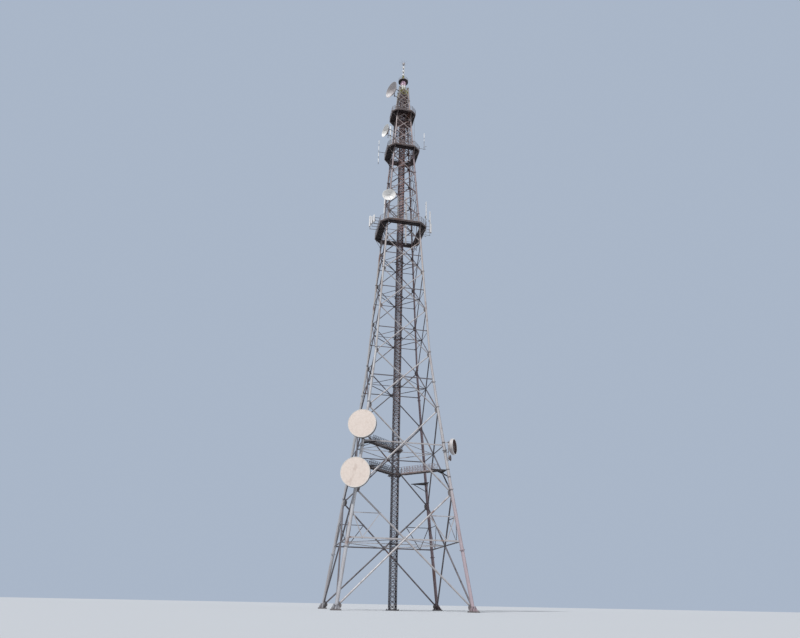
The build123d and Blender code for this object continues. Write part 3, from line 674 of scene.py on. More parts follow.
def foot_plate(b, foot, size, thick, spacing, washer, nut, stud):
    """Square plate with four anchor bolts; washer, nut and stud give their sizes."""
    plate(b, square(size / 2, 0, foot), UP * thick)
    for spot in square(spacing / 2, thick, foot):
        collar(b, spot, UP, *washer, "bolts")
        bolt(b, spot + UP * washer[-1], UP, *nut)
        pole(b, spot, 0, stud[1], stud[0], "bolts", 12)


def leg():
    """Front left leg."""
    b = Build()
    starts = [FOOT_PLATE_T] + [LEVELS[i] for i in TIER_FIRST_PANEL[1:]] + [LEG_TOP]
    for diameter, z0, z1 in zip(LEG_DIAMETERS, starts, starts[1:]):
        rings = [[leg_point(-1, -1, z) + out * (diameter / 2) for out in spokes(UP, 28)] for z in (z0, z1)]
        skin(b, rings, "legs")
    for level in SPLICE_LEVELS:
        splice(b, LEVELS[level] + (55 if level < 4 else 30))
    for panel in (0, 1, 2):
        splice(b, at(panel + 0.5))
    for level in range(len(LEVELS)):
        shape = gusset(level)
        b.join(shape)
        b.join(shape.moved(Matrix(((0, 1, 0), (1, 0, 0), (0, 0, 1))), flip=True))
    foot, reach = leg_point(-1, -1, 0), FOOT_PLATE / 2
    foot_plate(b, foot, FOOT_PLATE, FOOT_PLATE_T, FOOT_BOLT_SPACING, (3.0, 7.5, 1.6), (6.0, 5.5), (3.2, 14))
    r, base, rib_h = LEG_DIAMETERS[0] / 2, foot + UP * FOOT_PLATE_T, 52
    for i, out in enumerate(spokes(UP, 8)):
        long = reach * 0.92 if i % 2 else reach - 6
        corners = [(r - 1, 0), (long, 0), (long, 8), (r + 4, rib_h), (r - 1, rib_h)]
        side = out.cross(UP) * 3
        plate(b, [base + out * x + UP * z - side / 2 for x, z in corners], side, "legs")
    collar(b, base + UP * rib_h, UP, r - 2, r + 9, 4, "legs", 32)
    return b


def build_legs():
    front_left = leg()
    paints = {"front_left": "legs", "front_right": "legs_pink", "back_right": "legs_red", "back_left": "legs"}
    for (name, paint), turn in zip(paints.items(), SIDES.values()):
        whole = front_left.turned(turn)
        piece(f"leg_{name}_tube", whole, f"leg_{name}", {"legs": paint})


# Sides: round diagonals below, angles above, with crossing plates and bolted ends.


def brace_end(b, p, along, normal, r, width, start):
    """Flat tongue from the gusset to where the round part starts."""
    bar(b, p + along * (r * 1.1), p + along * (start + 6), flat(3.2, width * 0.9), "plates", near=normal)
    for k in (0.35, 0.65):
        bolt(b, p + along * (r * 1.1 + k * (start - r * 1.1)) - normal * 4, normal, 1.8, 8)


def diagonal(b, panel, sx, normal):
    """Diagonal of the front side that starts at the foot on side sx."""
    z0, z1 = node_z(panel), node_z(panel + 1)
    width, depth = BRACE_WIDTHS[tier(panel)], BRACE_DEPTHS[tier(panel)]
    low, high = side_point(sx * half(z0), z0), side_point(-sx * half(z1), z1)
    along = (high - low).normalized()
    r0, r1 = leg_radius(z0), leg_radius(z1)
    if tier(panel) < 4:
        ends = []
        for p, r, ahead in ((low, r0, along), (high, r1, -along)):
            start = r * 1.1 + 2.2 * width
            ends.append(p + ahead * start)
            tube(b, ends[-1] - ahead * width * 0.8, ends[-1], width * 0.22, "braces", end=width / 2)
            brace_end(b, p, ahead, normal, r, width, start)
        tube(b, *ends, width / 2, "braces")
    else:
        shift = normal * (sx * depth * 0.3)
        bar(b, low + along * r0 * 0.7 + shift, high - along * r1 * 0.7 + shift,
            angle_iron(width * 1.5, depth * 0.8, 1.1), "braces", near=normal * sx)


def side_panel(b, panel):
    zc, z1 = crossing(panel), node_z(panel + 1)
    width, depth = BRACE_WIDTHS[tier(panel)], BRACE_DEPTHS[tier(panel)]
    normal = side_normal(node_z(panel), z1)
    rise = normal.cross(RIGHT)
    for sx in (-1, 1):
        diagonal(b, panel, sx, normal)
    centre, size = side_point(0, zc), 1.5 * width
    plate(b, [centre - normal * 1.6 + RIGHT * x + rise * y for x, y in disc(size, 8)], normal * 3.2, "braces")
    for x, y in disc(size * 0.68, 4):
        spot = centre + RIGHT * x + rise * y
        bolt(b, spot - normal * (width / 2 + 1), normal, max(1.0, width * 0.11), width + 2)
    if panel < PLAN_LEVELS:
        reach = half(zc) - leg_radius(zc) * 0.9
        bar(b, side_point(-reach, zc), side_point(reach, zc), angle_iron(width * 0.8, depth, 1.8),
            "braces" if panel < 2 else "braces_dark", near=-normal)
        for sign in (1, -1):
            end = side_point(-sign * reach, zc)
            corners = [(0, -12), (22, -6), (22, 6), (0, 12)]
            plate(b, [end - normal * 1.2 + Vector((sign * x, 0, y)) for x, y in corners], normal * 2.4)
            bolt(b, end + RIGHT * (sign * 15) - normal * 3, normal, 1.8, 6)
    elif panel < LAST_PANEL:
        reach = half(z1) - leg_radius(z1) * 0.9
        bar(b, side_point(-reach, z1), side_point(reach, z1), angle_iron(width * 0.7, depth * 0.7, 1.0),
            "braces", near=-normal)


def fine_lattice(b, panel):
    """Thin bars that subdivide a high panel: a belt at the crossing, a diamond and ties across the inside."""
    z0, z1, zc = node_z(panel), node_z(panel + 1), crossing(panel)
    normal = side_normal(z0, z1)
    shape = angle_iron(9, 4, 0.9)
    dark, mid = ("olive", "olive") if panel == LAST_PANEL else ("braces_dark", "core_bars")
    ends = [side_point(s * (half(zc) - leg_radius(zc) * 0.9), zc) - normal * 3 for s in (-1, 1)]
    bars = [(*ends, mid)]
    for z in (z0, z1):
        middle = side_point(0, z) - normal * 3
        for end in ends:
            height = (z + zc) / 2
            post = side_point(math.copysign(half(height) - 3, end.x), height) - normal * 3
            knot = middle.lerp(end, 0.5)
            bars += [(middle, end, dark), (post, knot, mid), (knot, Vector((0, end.y, zc)), mid)]
    for p, q, paint in bars:
        bar(b, p, q, shape, paint, near=-normal)
    line = half(z1) - 4
    bar(b, (0, -line, z1), (line, 0, z1), shape, dark)
    bar(b, (0, -half(zc) + 4, zc), (0, -CORE_HALF + 3, zc), shape, mid)


def redundants(b):
    """Short bars in the upper half of the lowest panel of the front side."""
    zc, top = crossing(0), LEVELS[1]
    normal = side_normal(0, top)
    z_mid = (zc + top) / 2
    share = (z_mid - zc) / (top - zc)
    for sx in (-1, 1):
        knot = side_point(sx * share * half(top), z_mid)
        at_leg = side_point(sx * (half(z_mid) - 20), z_mid)
        on_bar = side_point(sx * (share + 1) / 2 * half(zc), zc)
        for p, q in ((knot, at_leg), (knot, on_bar), (at_leg, on_bar)):
            bar(b, p, q, angle_iron(10, 8, 1.6), "braces", near=-normal)
        for spot, size in ((knot, 16), (on_bar, 14), (at_leg, 14)):
            plate(b, [spot - normal * 1.2 + Vector((x, 0, z)) for x, z in disc(size, 6)], normal * 2.4)
            for k in (-1, 1):
                bolt(b, spot + RIGHT * (k * size * 0.5) - normal * 3, normal, 1.8, 6)


def build_sides():
    groups = {"lower_bracing": range(0, 3), "middle_bracing": range(3, 6),
              "spire_bracing": range(6, LAST_PANEL + 1)}
    for group, panels in groups.items():
        b, thin = Build(), Build()
        for panel in panels:
            side_panel(b, panel)
            if panel >= FINE_FROM:
                fine_lattice(b, panel)
            elif panel >= SIDE_FINE_FROM:
                fine_lattice(thin, panel)
        if 0 in panels:
            redundants(b)
        for name, turn in SIDES.items():
            whole = b.turned(turn)
            if name in ("left", "right"):
                whole.join(thin.turned(turn))
            # The left, right and back sides take the dark copy of the brace finish: painted shade on the
            # sides turned from the front.
            piece(f"{group}_{name}_bars", whole, f"{group}_{name}",
                  {} if name == "front" else {"braces": "braces_dark"})


def plan_bracing(level):
    b, part = Build(), Build()
    z = crossing(level)
    line = half(z)
    out = CORE_HALF + PLAN_COLLAR
    shape = angle_iron(PLAN_BAR, PLAN_BAR, 1.4)
    for end in ((0, -out + 3, z), (line - 8, 0, z)):
        bar(part, (0, -line + 8, z), end, shape, "braces" if level < 2 else "braces_dark")
    outline = [(-26, 5), (26, 5), (26, 16), (9, 38), (-9, 38), (-26, 16)]
    plate(part, [(x, y - line, z) for x, y in outline], UP * 2)
    for x in (-18, 0, 18):
        bolt(part, (x, -line + 14, z - 3), UP, 1.8, 8)
    bar(part, (-out, -CORE_HALF - 6, z), (out, -CORE_HALF - 6, z), shape, "core")
    plate(part, [(x, y - out, z + 5) for x, y in ((-14, 0), (14, 0), (10, -22), (-10, -22))], UP * 2)
    b.around(part)
    piece(f"plan_bracing_{level + 1}_bars", b, f"plan_bracing_{level + 1}")


# Core shaft: close lattice with a ladder and the feeder cables inside.


def core_wall(name, turn, z0, z1, bays):
    """One wall of the core with its left corner post, for the side that turn stands for."""
    wall = Build()
    high_up = name == "core_upper"
    pitch = (z1 - z0) / bays
    corner = -CORE_HALF + CORE_ANGLE / 2
    upright(wall, (corner, corner, 0), z0, z1, angle_iron(CORE_ANGLE, CORE_ANGLE, 1.8),
            "core_bars" if high_up else "core", near=RIGHT)
    y, x = -CORE_HALF + 2.4, CORE_HALF - 3
    for i in range(bays + 1):
        z = min(max(z0 + i * pitch, z0 + 2), z1 - 2)
        bar(wall, (-x, y, z), (x, y, z), angle_iron(5, 5, 1.0), "core_bars", near=BACK)
        if i == bays:
            break
        for sx, wide in ((-1, 13.0 if high_up else 7.0), (1, 5.0)):
            bar(wall, (sx * x, y + sx * 0.7, z), (-sx * x, y + sx * 0.7, z + pitch), flat(1.2, wide),
                "core_stripe" if high_up and turn == 0 and sx < 0 else "core_bars", near=BACK)
        middle = z + pitch / 2
        bolt(wall, (0, y - 2.4, middle), BACK, 1.4, 4.8)
        if turn == 0 and name == "core_middle":
            plate(wall, [(px, y - 1.8, middle + pz) for px, pz in disc(7, 6)], BACK * 1.2, "core_light")
    return wall


def core_section(name, z0, z1):
    b = Build()
    bays = round((z1 - z0) / CORE_BAY)
    for turn in SIDES.values():
        b.join(core_wall(name, turn, z0, z1, bays).turned(turn))
    stile, ladder_y = 19, 16
    for x in (-stile, stile):
        upright(b, (x, ladder_y, 0), z0, z1, flat(5, 1.8), "core", BACK)
    rungs = int((z1 - z0) / RUNG_PITCH)
    for i in range(rungs):
        z = z0 + (i + 0.5) * (z1 - z0) / rungs
        tube(b, (-stile, ladder_y, z), (stile, ladder_y, z), 1.2, "core", 8)
    back = BACK_FEEDERS[name]
    for turn, count, feeder in ((-90, 7, "cable"), (90, 7, "cable"), (180, back, "cable_brown")):
        if not count:
            continue
        tray = Build()
        for i in range(count):
            x, radius = -27 + 54 * i / (count - 1), CABLE_R * (1.0 if i % 3 else 1.25)
            pole(tray, (x, 38, 0), z0, z1, radius, feeder, 12)
        for i in range(bays):
            z = z0 + (i + 0.5) * (z1 - z0) / bays
            bar(tray, (-33, 42, z), (33, 42, z), flat(1.2, 5), "core")
        b.join(tray.turned(turn))
    for x, y, low, high in CABLE_LADDERS:
        low, high = max(low, z0), min(high, z1)
        if high - low > 50:
            cable_ladder(b, Vector((x, y, 0)), low, high)
    piece(f"{name}_lattice", b, name)


def cable_ladder(b, spot, z0, z1):
    """Pale ladder with five feeders beside the core, held off it by brackets."""
    stile = 12
    for k in (-stile, stile):
        upright(b, spot + RIGHT * k, z0, z1, flat(5, 1.6), "cable_pale", -BACK)
    for k in range(-2, 3):
        pole(b, spot + RIGHT * (4.2 * k) - BACK * 2.4, z0, z1, 1.9, "cable_pale", 10)
    count = max(2, round((z1 - z0) / 42))
    for i in range(count):
        middle = spot + UP * (z0 + (i + 0.5) * (z1 - z0) / count)
        bar(b, middle - RIGHT * stile, middle + RIGHT * stile, flat(3, 1.4), "cable_pale", near=-BACK)
    count = max(2, round((z1 - z0) / 180))
    reach = CORE_HALF - 2
    for i in range(count):
        z = z0 + 12 + i * (z1 - z0 - 24) / (count - 1)
        root = (max(-reach, min(reach, spot.x)), max(-reach, min(reach, spot.y)), z)
        bar(b, root, spot + UP * z, angle_iron(4, 4, 1.0), "core")


def core_foot():
    b = Build()
    foot_plate(b, Vector(), CORE_FOOT, CORE_FOOT_T, CORE_FOOT - 22, (2.6, 6.5, 1.4), (5.0, 4.5), (2.7, 11))
    piece("core_foot_plate", b, "core_foot")


# Walkways.


def grating(b, x0, x1, y0, y1, z):
    """Open floor: bearing bars along X and cross rods along Y, with a frame."""
    middle, top = z + DECK_T / 2, z + DECK_T - 1
    for x, y, u, v in ((x0, y0, x1, y0), (x0, y1, x1, y1), (x0, y0, x0, y1), (x1, y0, x1, y1)):
        bar(b, (x, y, middle), (u, v, middle), flat(DECK_T, 1.6), "deck")
    rows = max(2, round((y1 - y0) / GRATING_ROW))
    for i in range(1, rows):
        y = y0 + (y1 - y0) * i / rows
        bar(b, (x0, y, middle), (x1, y, middle), flat(DECK_T * 0.8, 1.1), "deck")
    rods = max(2, round((x1 - x0) / GRATING_ROD))
    for i in range(1, rods):
        x = x0 + (x1 - x0) * i / rods
        bar(b, (x, y0, top), (x, y1, top), flat(1.2, 1.2), "deck")


def hand_rail(b, p, q, posts, lattice=True):
    """Railing from p to q at deck level: posts, rails, a toe board and crossed bars."""
    p, q = Vector(p), Vector(q)
    for share, radius in ((1.0, 2.6), (0.62, 1.6), (0.34, 1.6)):
        lift = UP * (BRIDGE_RAIL_H * share - 2.6)
        tube(b, p + lift, q + lift, radius, "bridge_rails", 10)
    bar(b, p + UP * 7, q + UP * 7, flat(14, 1.2), "bridge_rails")
    for i in range(posts + 1):
        spot = p.lerp(q, i / posts)
        pole(b, spot, -4, BRIDGE_RAIL_H - 2.6, 2.0, "bridge_rails", 10)
        if lattice and i < posts:
            ahead = p.lerp(q, (i + 1) / posts)
            for low, high in ((spot, ahead), (ahead, spot)):
                bar(b, low + UP * 12, high + UP * (BRIDGE_RAIL_H * 0.95), flat(1.2, 3.4), "bridge_rails")


def leg_band(b, sx, sy, z, over, length):
    """Band round a leg, from height z along it."""
    r = leg_radius(z)
    collar(b, leg_point(sx, sy, z), leg_axis(sx, sy, z), r - 1, r + over, length, sides=32)


def corner_landing(z):
    """Three-cornered deck inside the back right leg, on two struts."""
    b = Build()
    out = half(z) - LANDING_INSET
    back = out - LANDING_REACH
    corners = [Vector((x, y, z)) for x, y in ((out, out), (back, out), (out, back))]
    plate(b, [c + UP * (DECK_T - 1.5) for c in corners], UP * 1.5, "deck")
    for p, q in zip(corners, corners[1:] + corners[:1]):
        inward = (sum(corners, Vector()) / 3 - (p + q) / 2).normalized() * 1.5
        lift = inward + UP * (DECK_T - LANDING_T / 2)
        bar(b, p + lift, q + lift, channel(LANDING_T, 4.0, 1.4), "deck", near=UP.cross(q - p))
    for i in range(1, 6):
        p, q = (corners[1].lerp(end, i / 6) + UP * 1.7 for end in (corners[0], corners[2]))
        bar(b, p, q, flat(3.4, 1.4), "deck")
    foot_z = z - LANDING_STRUT_DROP
    foot = leg_point(1, 1, foot_z)
    far, near = out - 5, back + 2 * LANDING_INSET
    for x, y in ((near, far), (far, near)):
        head = Vector((x, y, z - 2))
        start = foot + (head - foot).normalized() * leg_radius(foot_z) * 0.8
        bar(b, start, head, angle_iron(8, 8, 1.6), "deck")
    for height in (foot_z - 5, z - 4):
        leg_band(b, 1, 1, height, 2.6, 10)
    return b


def bridge_arm(z, sx):
    """Grated walkway from the landing on a front leg to the core, with lattice railings."""
    far = (half(z) - LANDING_INSET - LANDING_REACH / 2) * math.sqrt(2)
    near = LANDING_HALF * math.sqrt(2)
    side = BRIDGE_WIDTH / 2
    arm = Build()
    grating(arm, near - side + 6, far, -side + 3, side - 3, z)
    for y in (-side, side):
        beam_y, rail_y = y * 0.97, y * 0.94
        bar(arm, (near, beam_y, z + 1), (far, beam_y, z + 1), channel(10, 3, 1.0), "deck_edge", BACK * -y)
        hand_rail(arm, (near + 3, rail_y, z + DECK_T), (far - 3, rail_y, z + DECK_T), 12)
    for i in range(8):
        x = near + (far - near) * (i + 0.5) / 8
        bar(arm, (x, -side + 2, z + 0.6), (x, side - 2, z + 0.6), angle_iron(5, 3, 0.9), "deck_edge")
    whole = arm.turned(45)
    whole.join(corner_landing(z))
    return whole.moved(Matrix.Diagonal((sx, -1, 1)), flip=sx > 0)


def core_landing(z):
    """Square walk round the core."""
    b, part = Build(), Build()
    r, hole = LANDING_HALF, CORE_HALF
    grating(part, -hole, r, -r, -hole - 1, z)
    hand_rail(part, (-r * 0.45, -r + 2, z + DECK_T), (r - 14, -r + 2, z + DECK_T), 2, lattice=False)
    bar(part, (-r, -r + 1, z + 1), (r, -r + 1, z + 1), channel(8, 3, 1.0), "deck_edge", near=BACK)
    for x in (-40, 40):
        bar(part, (x, -r + 4, z), (x, -hole + 4, z - 46), angle_iron(4, 4, 1), "deck_edge", near=RIGHT)
    b.around(part)
    return b


def build_walkways():
    high, low = crossing(1) + PLAN_BAR / 2, at(LOW_BRIDGE_AT)
    for name, z in (("high_bridge", high), ("low_bridge_left", low)):
        b = bridge_arm(z, -1)
        b.join(core_landing(z))
        piece(f"{name}_walk", b, name)
    piece("low_bridge_right_walk", bridge_arm(low, 1), "low_bridge_right",
          {"bridge_rails": "bridge_rails_light"})
    piece("corner_landing_deck", corner_landing(low), "corner_landing")


# Platforms.


def platform_edge(name):
    """How far a platform reaches from the centre line, and the height of its floor."""
    place, overhang = PLATFORMS[name][:2]
    z = at(place)
    return half(z) + overhang, z + EDGE_BEAM_H + DECK_T


def octagon(reach, chamfer, z, inset=0):
    """Corners of a chamfered square, its sides moved inwards by the inset."""
    reach -= inset
    edge = reach - chamfer + inset * (2 - math.sqrt(2))
    return [Matrix.Rotation(math.radians(turn), 3, "Z") @ Vector((x, -reach, z))
            for turn in SIDES.values() for x in (-edge, edge)]


def inner_floor(b, line, opening, top):
    """Floor between the legs, open round the core."""
    floor = Build()
    near, far, slot, out = CORE_HALF + PLATFORM_GAP, line - 6, 28, opening + 1
    for x0, x1, y0, y1 in ((-near, far, -far, -near), (slot, out, -out, -far), (-out, -slot, -out, -far)):
        corners = [(x0, y0, top), (x1, y0, top), (x1, y1, top), (x0, y1, top)]
        plate(floor, corners, UP * (DECK_T - 1.2), "deck")
    for k in (-1, 0, 1):
        y = -near - 30 + 22 * k
        bar(floor, (-near, y, top - 3), (far, y, top - 3), angle_iron(4, 6, 1.0), "deck")
    b.around(floor)


def platform_beams(z, foot_z, reach, edge, frame_at):
    """Joists, two cantilevers and their knee braces, for the front side."""
    part = Build()
    line, foot, beam_z, joist_z = half(z), half(foot_z), z + EDGE_BEAM_H / 2, z + EDGE_BEAM_H - 4
    joist = angle_iron(4, 8, 1.2)
    count = round(2 * edge / JOIST_PITCH)
    for i in range(count + 1):
        x = -edge + 2 * edge * i / count
        bar(part, (x, -frame_at, joist_z), (x, -reach + EDGE_BEAM_W, joist_z), joist, "deck")
    for share in (0.3, 0.7):
        end = Vector((-edge, -reach + 6, joist_z)).lerp(Vector((-reach + 6, -edge, joist_z)), share)
        bar(part, (-frame_at, -frame_at, joist_z), end, joist, "deck")
    for sx in (-1, 1):
        start = (sx * line, -line - leg_radius(z) * 0.8, beam_z)
        end = (sx * line, -reach + EDGE_BEAM_W, beam_z)
        bar(part, start, end, i_beam(EDGE_BEAM_H, EDGE_BEAM_W, 1.6), "deck")
        knee = Vector((sx * foot, -foot - leg_radius(foot_z) * 0.8, foot_z))
        bar(part, knee, end, angle_iron(7, 7, 1.4), "deck_edge", near=RIGHT * sx)
        corners = [(0, -16), (-9.6, 4), (-2.4, 18), (0, 18)]
        plate(part, [knee + Vector((-1, y, z)) for y, z in corners], RIGHT * 2)
        for k in (0, 10):
            bolt(part, knee + Vector((-3.5, -3, k)), RIGHT, 1.4, 7)
    return part


def platform_deck(name):
    place, overhang, chamfer, drop = PLATFORMS[name]
    z = at(place)
    reach, top, foot_z = half(z) + overhang, z + EDGE_BEAM_H, z - drop
    opening = half(z) + BRACE_DEPTHS[tier_at(z)] / 2 + PLATFORM_GAP
    frame_at = opening + 5
    b = Build()
    outlines = ((opening, 0.02 * opening), (reach - 1, chamfer))
    low, high = ([octagon(*outline, level) for outline in outlines] for level in (top, top + DECK_T - 1))
    skin(b, low + high[::-1], "deck", closed=True)
    if name == "upper_platform":
        inner_floor(b, half(z), opening, top)
    beam = [(x, y) for y, x in channel(EDGE_BEAM_H, EDGE_BEAM_W, 1.6)][::-1]
    sweep(b, octagon(reach, chamfer, z + EDGE_BEAM_H / 2, EDGE_BEAM_W / 2), beam, "deck_edge")
    sweep(b, octagon(reach - 0.8, chamfer, top + DECK_T + 5), flat(12, 1.2), "deck_edge")
    sweep(b, square(frame_at, top - 5), flat(10, 3), "deck")
    sweep(b, octagon((frame_at + reach) / 2, chamfer * 0.62, top - 4), flat(8, 3), "deck")
    b.around(platform_beams(z, foot_z, reach, reach - chamfer, frame_at))
    for sx, sy in CORNERS:
        for height in (z - 6, foot_z - 6):
            leg_band(b, sx, sy, height, 2.4, 14)
    piece(f"{name}_deck", b, name)


def platform_railing(name):
    b = Build()
    (reach, floor), chamfer = platform_edge(name), PLATFORMS[name][2]
    for share, radius in ((1.0, 2.5), (0.66, 1.5), (0.36, 1.5)):
        path = octagon(reach, chamfer, floor + RAILING_H * share - 2.5, 2.5)
        sweep(b, path, disc(radius, 10), "rails")
    path = octagon(reach, chamfer, floor, 2.5)
    for p, q in zip(path, path[1:] + path[:1]):
        posts = max(1, round((q - p).length / POST_PITCH))
        for i in range(posts):
            spot = p.lerp(q, i / posts)
            pole(b, spot, 0, RAILING_H - 2.5, 2.1, "rails", 10)
            collar(b, spot, UP, 1.8, 5, 1.5, "rails", 8)
        for i in range(4 * posts):
            spot = p.lerp(q, (i + 0.5) / (4 * posts))
            upright(b, spot, 4, RAILING_H - 3, flat(2.2, 1.2), "rails", near=q - p)
    piece(f"{name}_railing_rails", b, f"{name}_railing")


# Dishes.


def clamp(b, spot, axis, ahead, r):
    """Band round a leg with a pair of ears and bolts."""
    collar(b, spot - axis * 6, axis, r - 1, r + 2.4, 12, sides=32)
    u, v = square_to(axis, ahead)
    for s in (-1, 1):
        bar(b, spot + v * (s * r), spot + v * (s * (r + 8)), flat(10, 5), "plates", near=axis)
        for k in (-3, 3):
            bolt(b, spot + v * (s * (r + 5.5)) + axis * k - u * 5, u, 1.4, 10)


def bracket(b, hold, ahead, ring, reach, outline, studs, sides=TUBE_SIDES):
    """Band on an upright pipe with an arm ahead and a bolt on each side. ring holds the band's radii and
    length, and studs the bolts' distances to the side and behind, radius and length."""
    band(b, hold, *ring, sides=sides)
    bar(b, hold, hold + ahead * reach, outline, "plates")
    aside, behind, radius, length = studs
    for s in (-aside, aside):
        bolt(b, hold + ahead.cross(UP) * s - ahead * behind, ahead, radius, length)


def dish_mount(b, sx, sy, z, ahead, diameter, reach, tail=0.0, pipe="legs", pipe_r=5.4, arm="braces",
               arm_r=4.2):
    """Upright pipe behind a dish, at a reach from the leg, on two clamped arms."""
    pipe_at = leg_point(sx, sy, z) + ahead * reach
    spread = diameter * MOUNT_SPREAD
    end = spread * MOUNT_PIPE_PER_SPREAD
    foot = max(tail, end)
    pole(b, pipe_at, -foot, end, pipe_r, pipe)
    for tip in (-foot, end):
        pole(b, pipe_at, tip - 1.5, tip + 1.5, pipe_r + 0.8, "plates")
    for level in (-spread, spread):
        spot, r = leg_point(sx, sy, z + level), leg_radius(z + level)
        clamp(b, spot, leg_axis(sx, sy, z + level), ahead, r)
        arm_end = pipe_at + UP * level
        step = (arm_end - spot).normalized()
        tube(b, spot + step * r * 0.9, arm_end, arm_r, arm, 14)
        band(b, arm_end, pipe_r - 0.2, pipe_r + 2.4, 10)
        pole(b, arm_end - step * 12, -7, 7, 2.4, "plates", 10)
    for level in (-0.42, 0.42):
        bracket(b, pipe_at + UP * (spread * level), ahead, (pipe_r - 0.2, pipe_r + 2.2, 8), MOUNT_GAP + 5,
                flat(8, 9), (6.5, 8, 1.3, 17))


def bowl_curve(diameter, depth, offset=0.0, steps=9):
    """Dish curve from the hub to the rim, as (distance, radius) pairs."""
    hub, rim = diameter * DISH_HUB_PER_D, diameter / 2 - offset
    radii = [hub + (rim - hub) * i / steps for i in range(steps + 1)]
    return [(offset + depth * (r * r - hub * hub) / (rim * rim - hub * hub), r) for r in radii]


def back_ribs(b, origin, ahead, curve, count, high, paint):
    """Radial ribs on the back of a dish, following its curve."""
    for out in spokes(ahead, count):
        inner = [origin + ahead * along + out * r for along, r in curve[:-1]]
        outer = [p - ahead * (high * (1 - 0.6 * i / len(curve))) for i, p in enumerate(inner)]
        side = ahead.cross(out) * 1.8
        plate(b, [p - side / 2 for p in inner + outer[::-1]], side, paint)


def shrouded_dish(name):
    sx, sy, place, angle, diameter, rim = SHROUDED_DISHES[name]
    z, radius, bowl = at(place), diameter / 2, diameter * DISH_DEPTH_RATIO
    depth = bowl + SHROUD_DEPTH
    hem = depth - HEM
    ahead = heading(angle)
    side = ahead.cross(UP)
    origin = leg_point(sx, sy, z) + ahead * (rim - depth)
    curve = bowl_curve(diameter - 4, bowl)
    seam, seam_r = curve[4]
    b = Build()
    wall = [(0, 0), (5, 0), (5, 2.5), (26, 2.5), (26, 0.8), (30, 0.8), (30, 2.5), (SHROUD_DEPTH - HEM, 2.5)]
    profile = [(0, 0), *curve, *[(bowl + along, radius - inset) for along, inset in wall], (hem, 0)]
    spin(b, origin, ahead, profile, "shroud", 72)
    collar(b, origin + ahead * hem, ahead, radius - SHROUD_RIM, radius, HEM, "dish_rim", 72)
    for out in spokes(ahead, 24):
        spot = origin + ahead * (depth - 7) + out * (radius - 0.5)
        bar(b, spot - ahead * 3, spot + ahead * 6.6, flat(1.6, 5), "bolts", near=out)
        bolt(b, origin + ahead * (bowl - 3.5) + out * (radius - 3.4), ahead, 1.5, 9)
    back_ribs(b, origin, ahead, curve, 8, 11, "shroud")
    collar(b, origin + ahead * (seam - 8), ahead, seam_r - 2.5, seam_r + 2.5, 7, "shroud", 48)
    dish_mount(b, sx, sy, z, ahead, diameter, rim - depth - MOUNT_GAP)
    spin(b, origin - ahead * 10, ahead, [(0, 0), (0, 14), (12, 14), (12, 0)], "plates", 24)
    for s in (-1, 1):
        grip = origin + ahead * (bowl - 3) + side * (s * radius * 0.80) + UP * (radius * 0.28)
        tube(b, grip, leg_point(sx, sy, z + 75) + side * (s * 6), 2.6, "braces", 10)
        pole(b, grip, -4, 4, 3.6, "plates", 10)
    piece(f"{name}_drum", b, name)

    cover, inner, face = Build(), radius - SHROUD_RIM, depth - 1.2
    dome = [(face + 1.6 * (1 - share * share), inner * share) for share in (0.985, 0.8, 0.55, 0.3)]
    profile = [(depth - 11, 0), (depth - 11, inner), (face, inner), *dome, (depth + 0.4, 0)]
    spin(cover, origin, ahead, profile, "radome", 72)
    piece(f"{name}_cover", cover, f"{name}_radome")


def dish_bowl(b, origin, ahead, diameter, skirt, shell, inside, rim=None, rim_rings=0, ribs=8):
    """Dished shell with a rolled rim, ribs on its back and a feed on three stays. shell, inside and rim
    name finishes, and rim_rings says how many rings further in the finish of the rim goes."""
    rim = rim or shell
    radius, depth = diameter / 2, diameter * DISH_DEPTH_RATIO
    back, front = bowl_curve(diameter, depth), bowl_curve(diameter, depth, DISH_SHELL)
    edge = depth + skirt
    lip = [(edge + 0.5, radius), (edge + 3, radius), (edge + DISH_SHELL, radius - 1.5)]
    if skirt:
        lip = [(depth + 2, radius), *lip, (edge + DISH_SHELL, radius - DISH_SHELL)]
    loop = [(0, 0.01), *back, *lip, *front[::-1], (DISH_SHELL, 0.01)]
    first = len(b.paints)
    skin(b, hoops(origin, ahead, loop, BOWL_SIDES), shell)
    rim_at = len(back) + (2 if skirt else 1)
    inside_at = len(back) + len(lip) + rim_rings
    for start, stop, paint in ((rim_at, inside_at, rim), (inside_at, len(loop) - 1, inside)):
        for face in range(first + start * BOWL_SIDES, first + stop * BOWL_SIDES):
            b.paints[face] = paint
    # On the skirted dish this white ring at the front edge is partly painted highlight: it stands in for
    # sunlight on the skirt's inner wall.
    if skirt:
        collar(b, origin + ahead * (edge + 0.4), ahead, radius - 11, radius - 0.5, DISH_SHELL - 0.6, rim,
               BOWL_SIDES)
    back_ribs(b, origin, ahead, back, ribs, 5, shell)
    seam, seam_r = back[4]
    collar(b, origin + ahead * (seam - 4), ahead, seam_r - 1.5, seam_r + 1.5, 4, shell, 40)
    focus = origin + ahead * (depth * 1.45)
    tube(b, origin + ahead * 2, focus - ahead * 8, 2.6, "core_light", 14)
    tube(b, focus - ahead * 10, focus, 4.2, "core_light", 16, end=6.5)
    tube(b, focus, focus + ahead * 2, 7.0, shell)
    for out in spokes(ahead, 3):
        start = origin + ahead * depth + out * (radius * 0.93)
        tube(b, start, focus - ahead * 4 + out * 3, 1.1, "core_light", 8)
    spin(b, origin - ahead * 6, ahead, [(0, 0), (0, 9), (7, 9), (7, 0)], "plates")


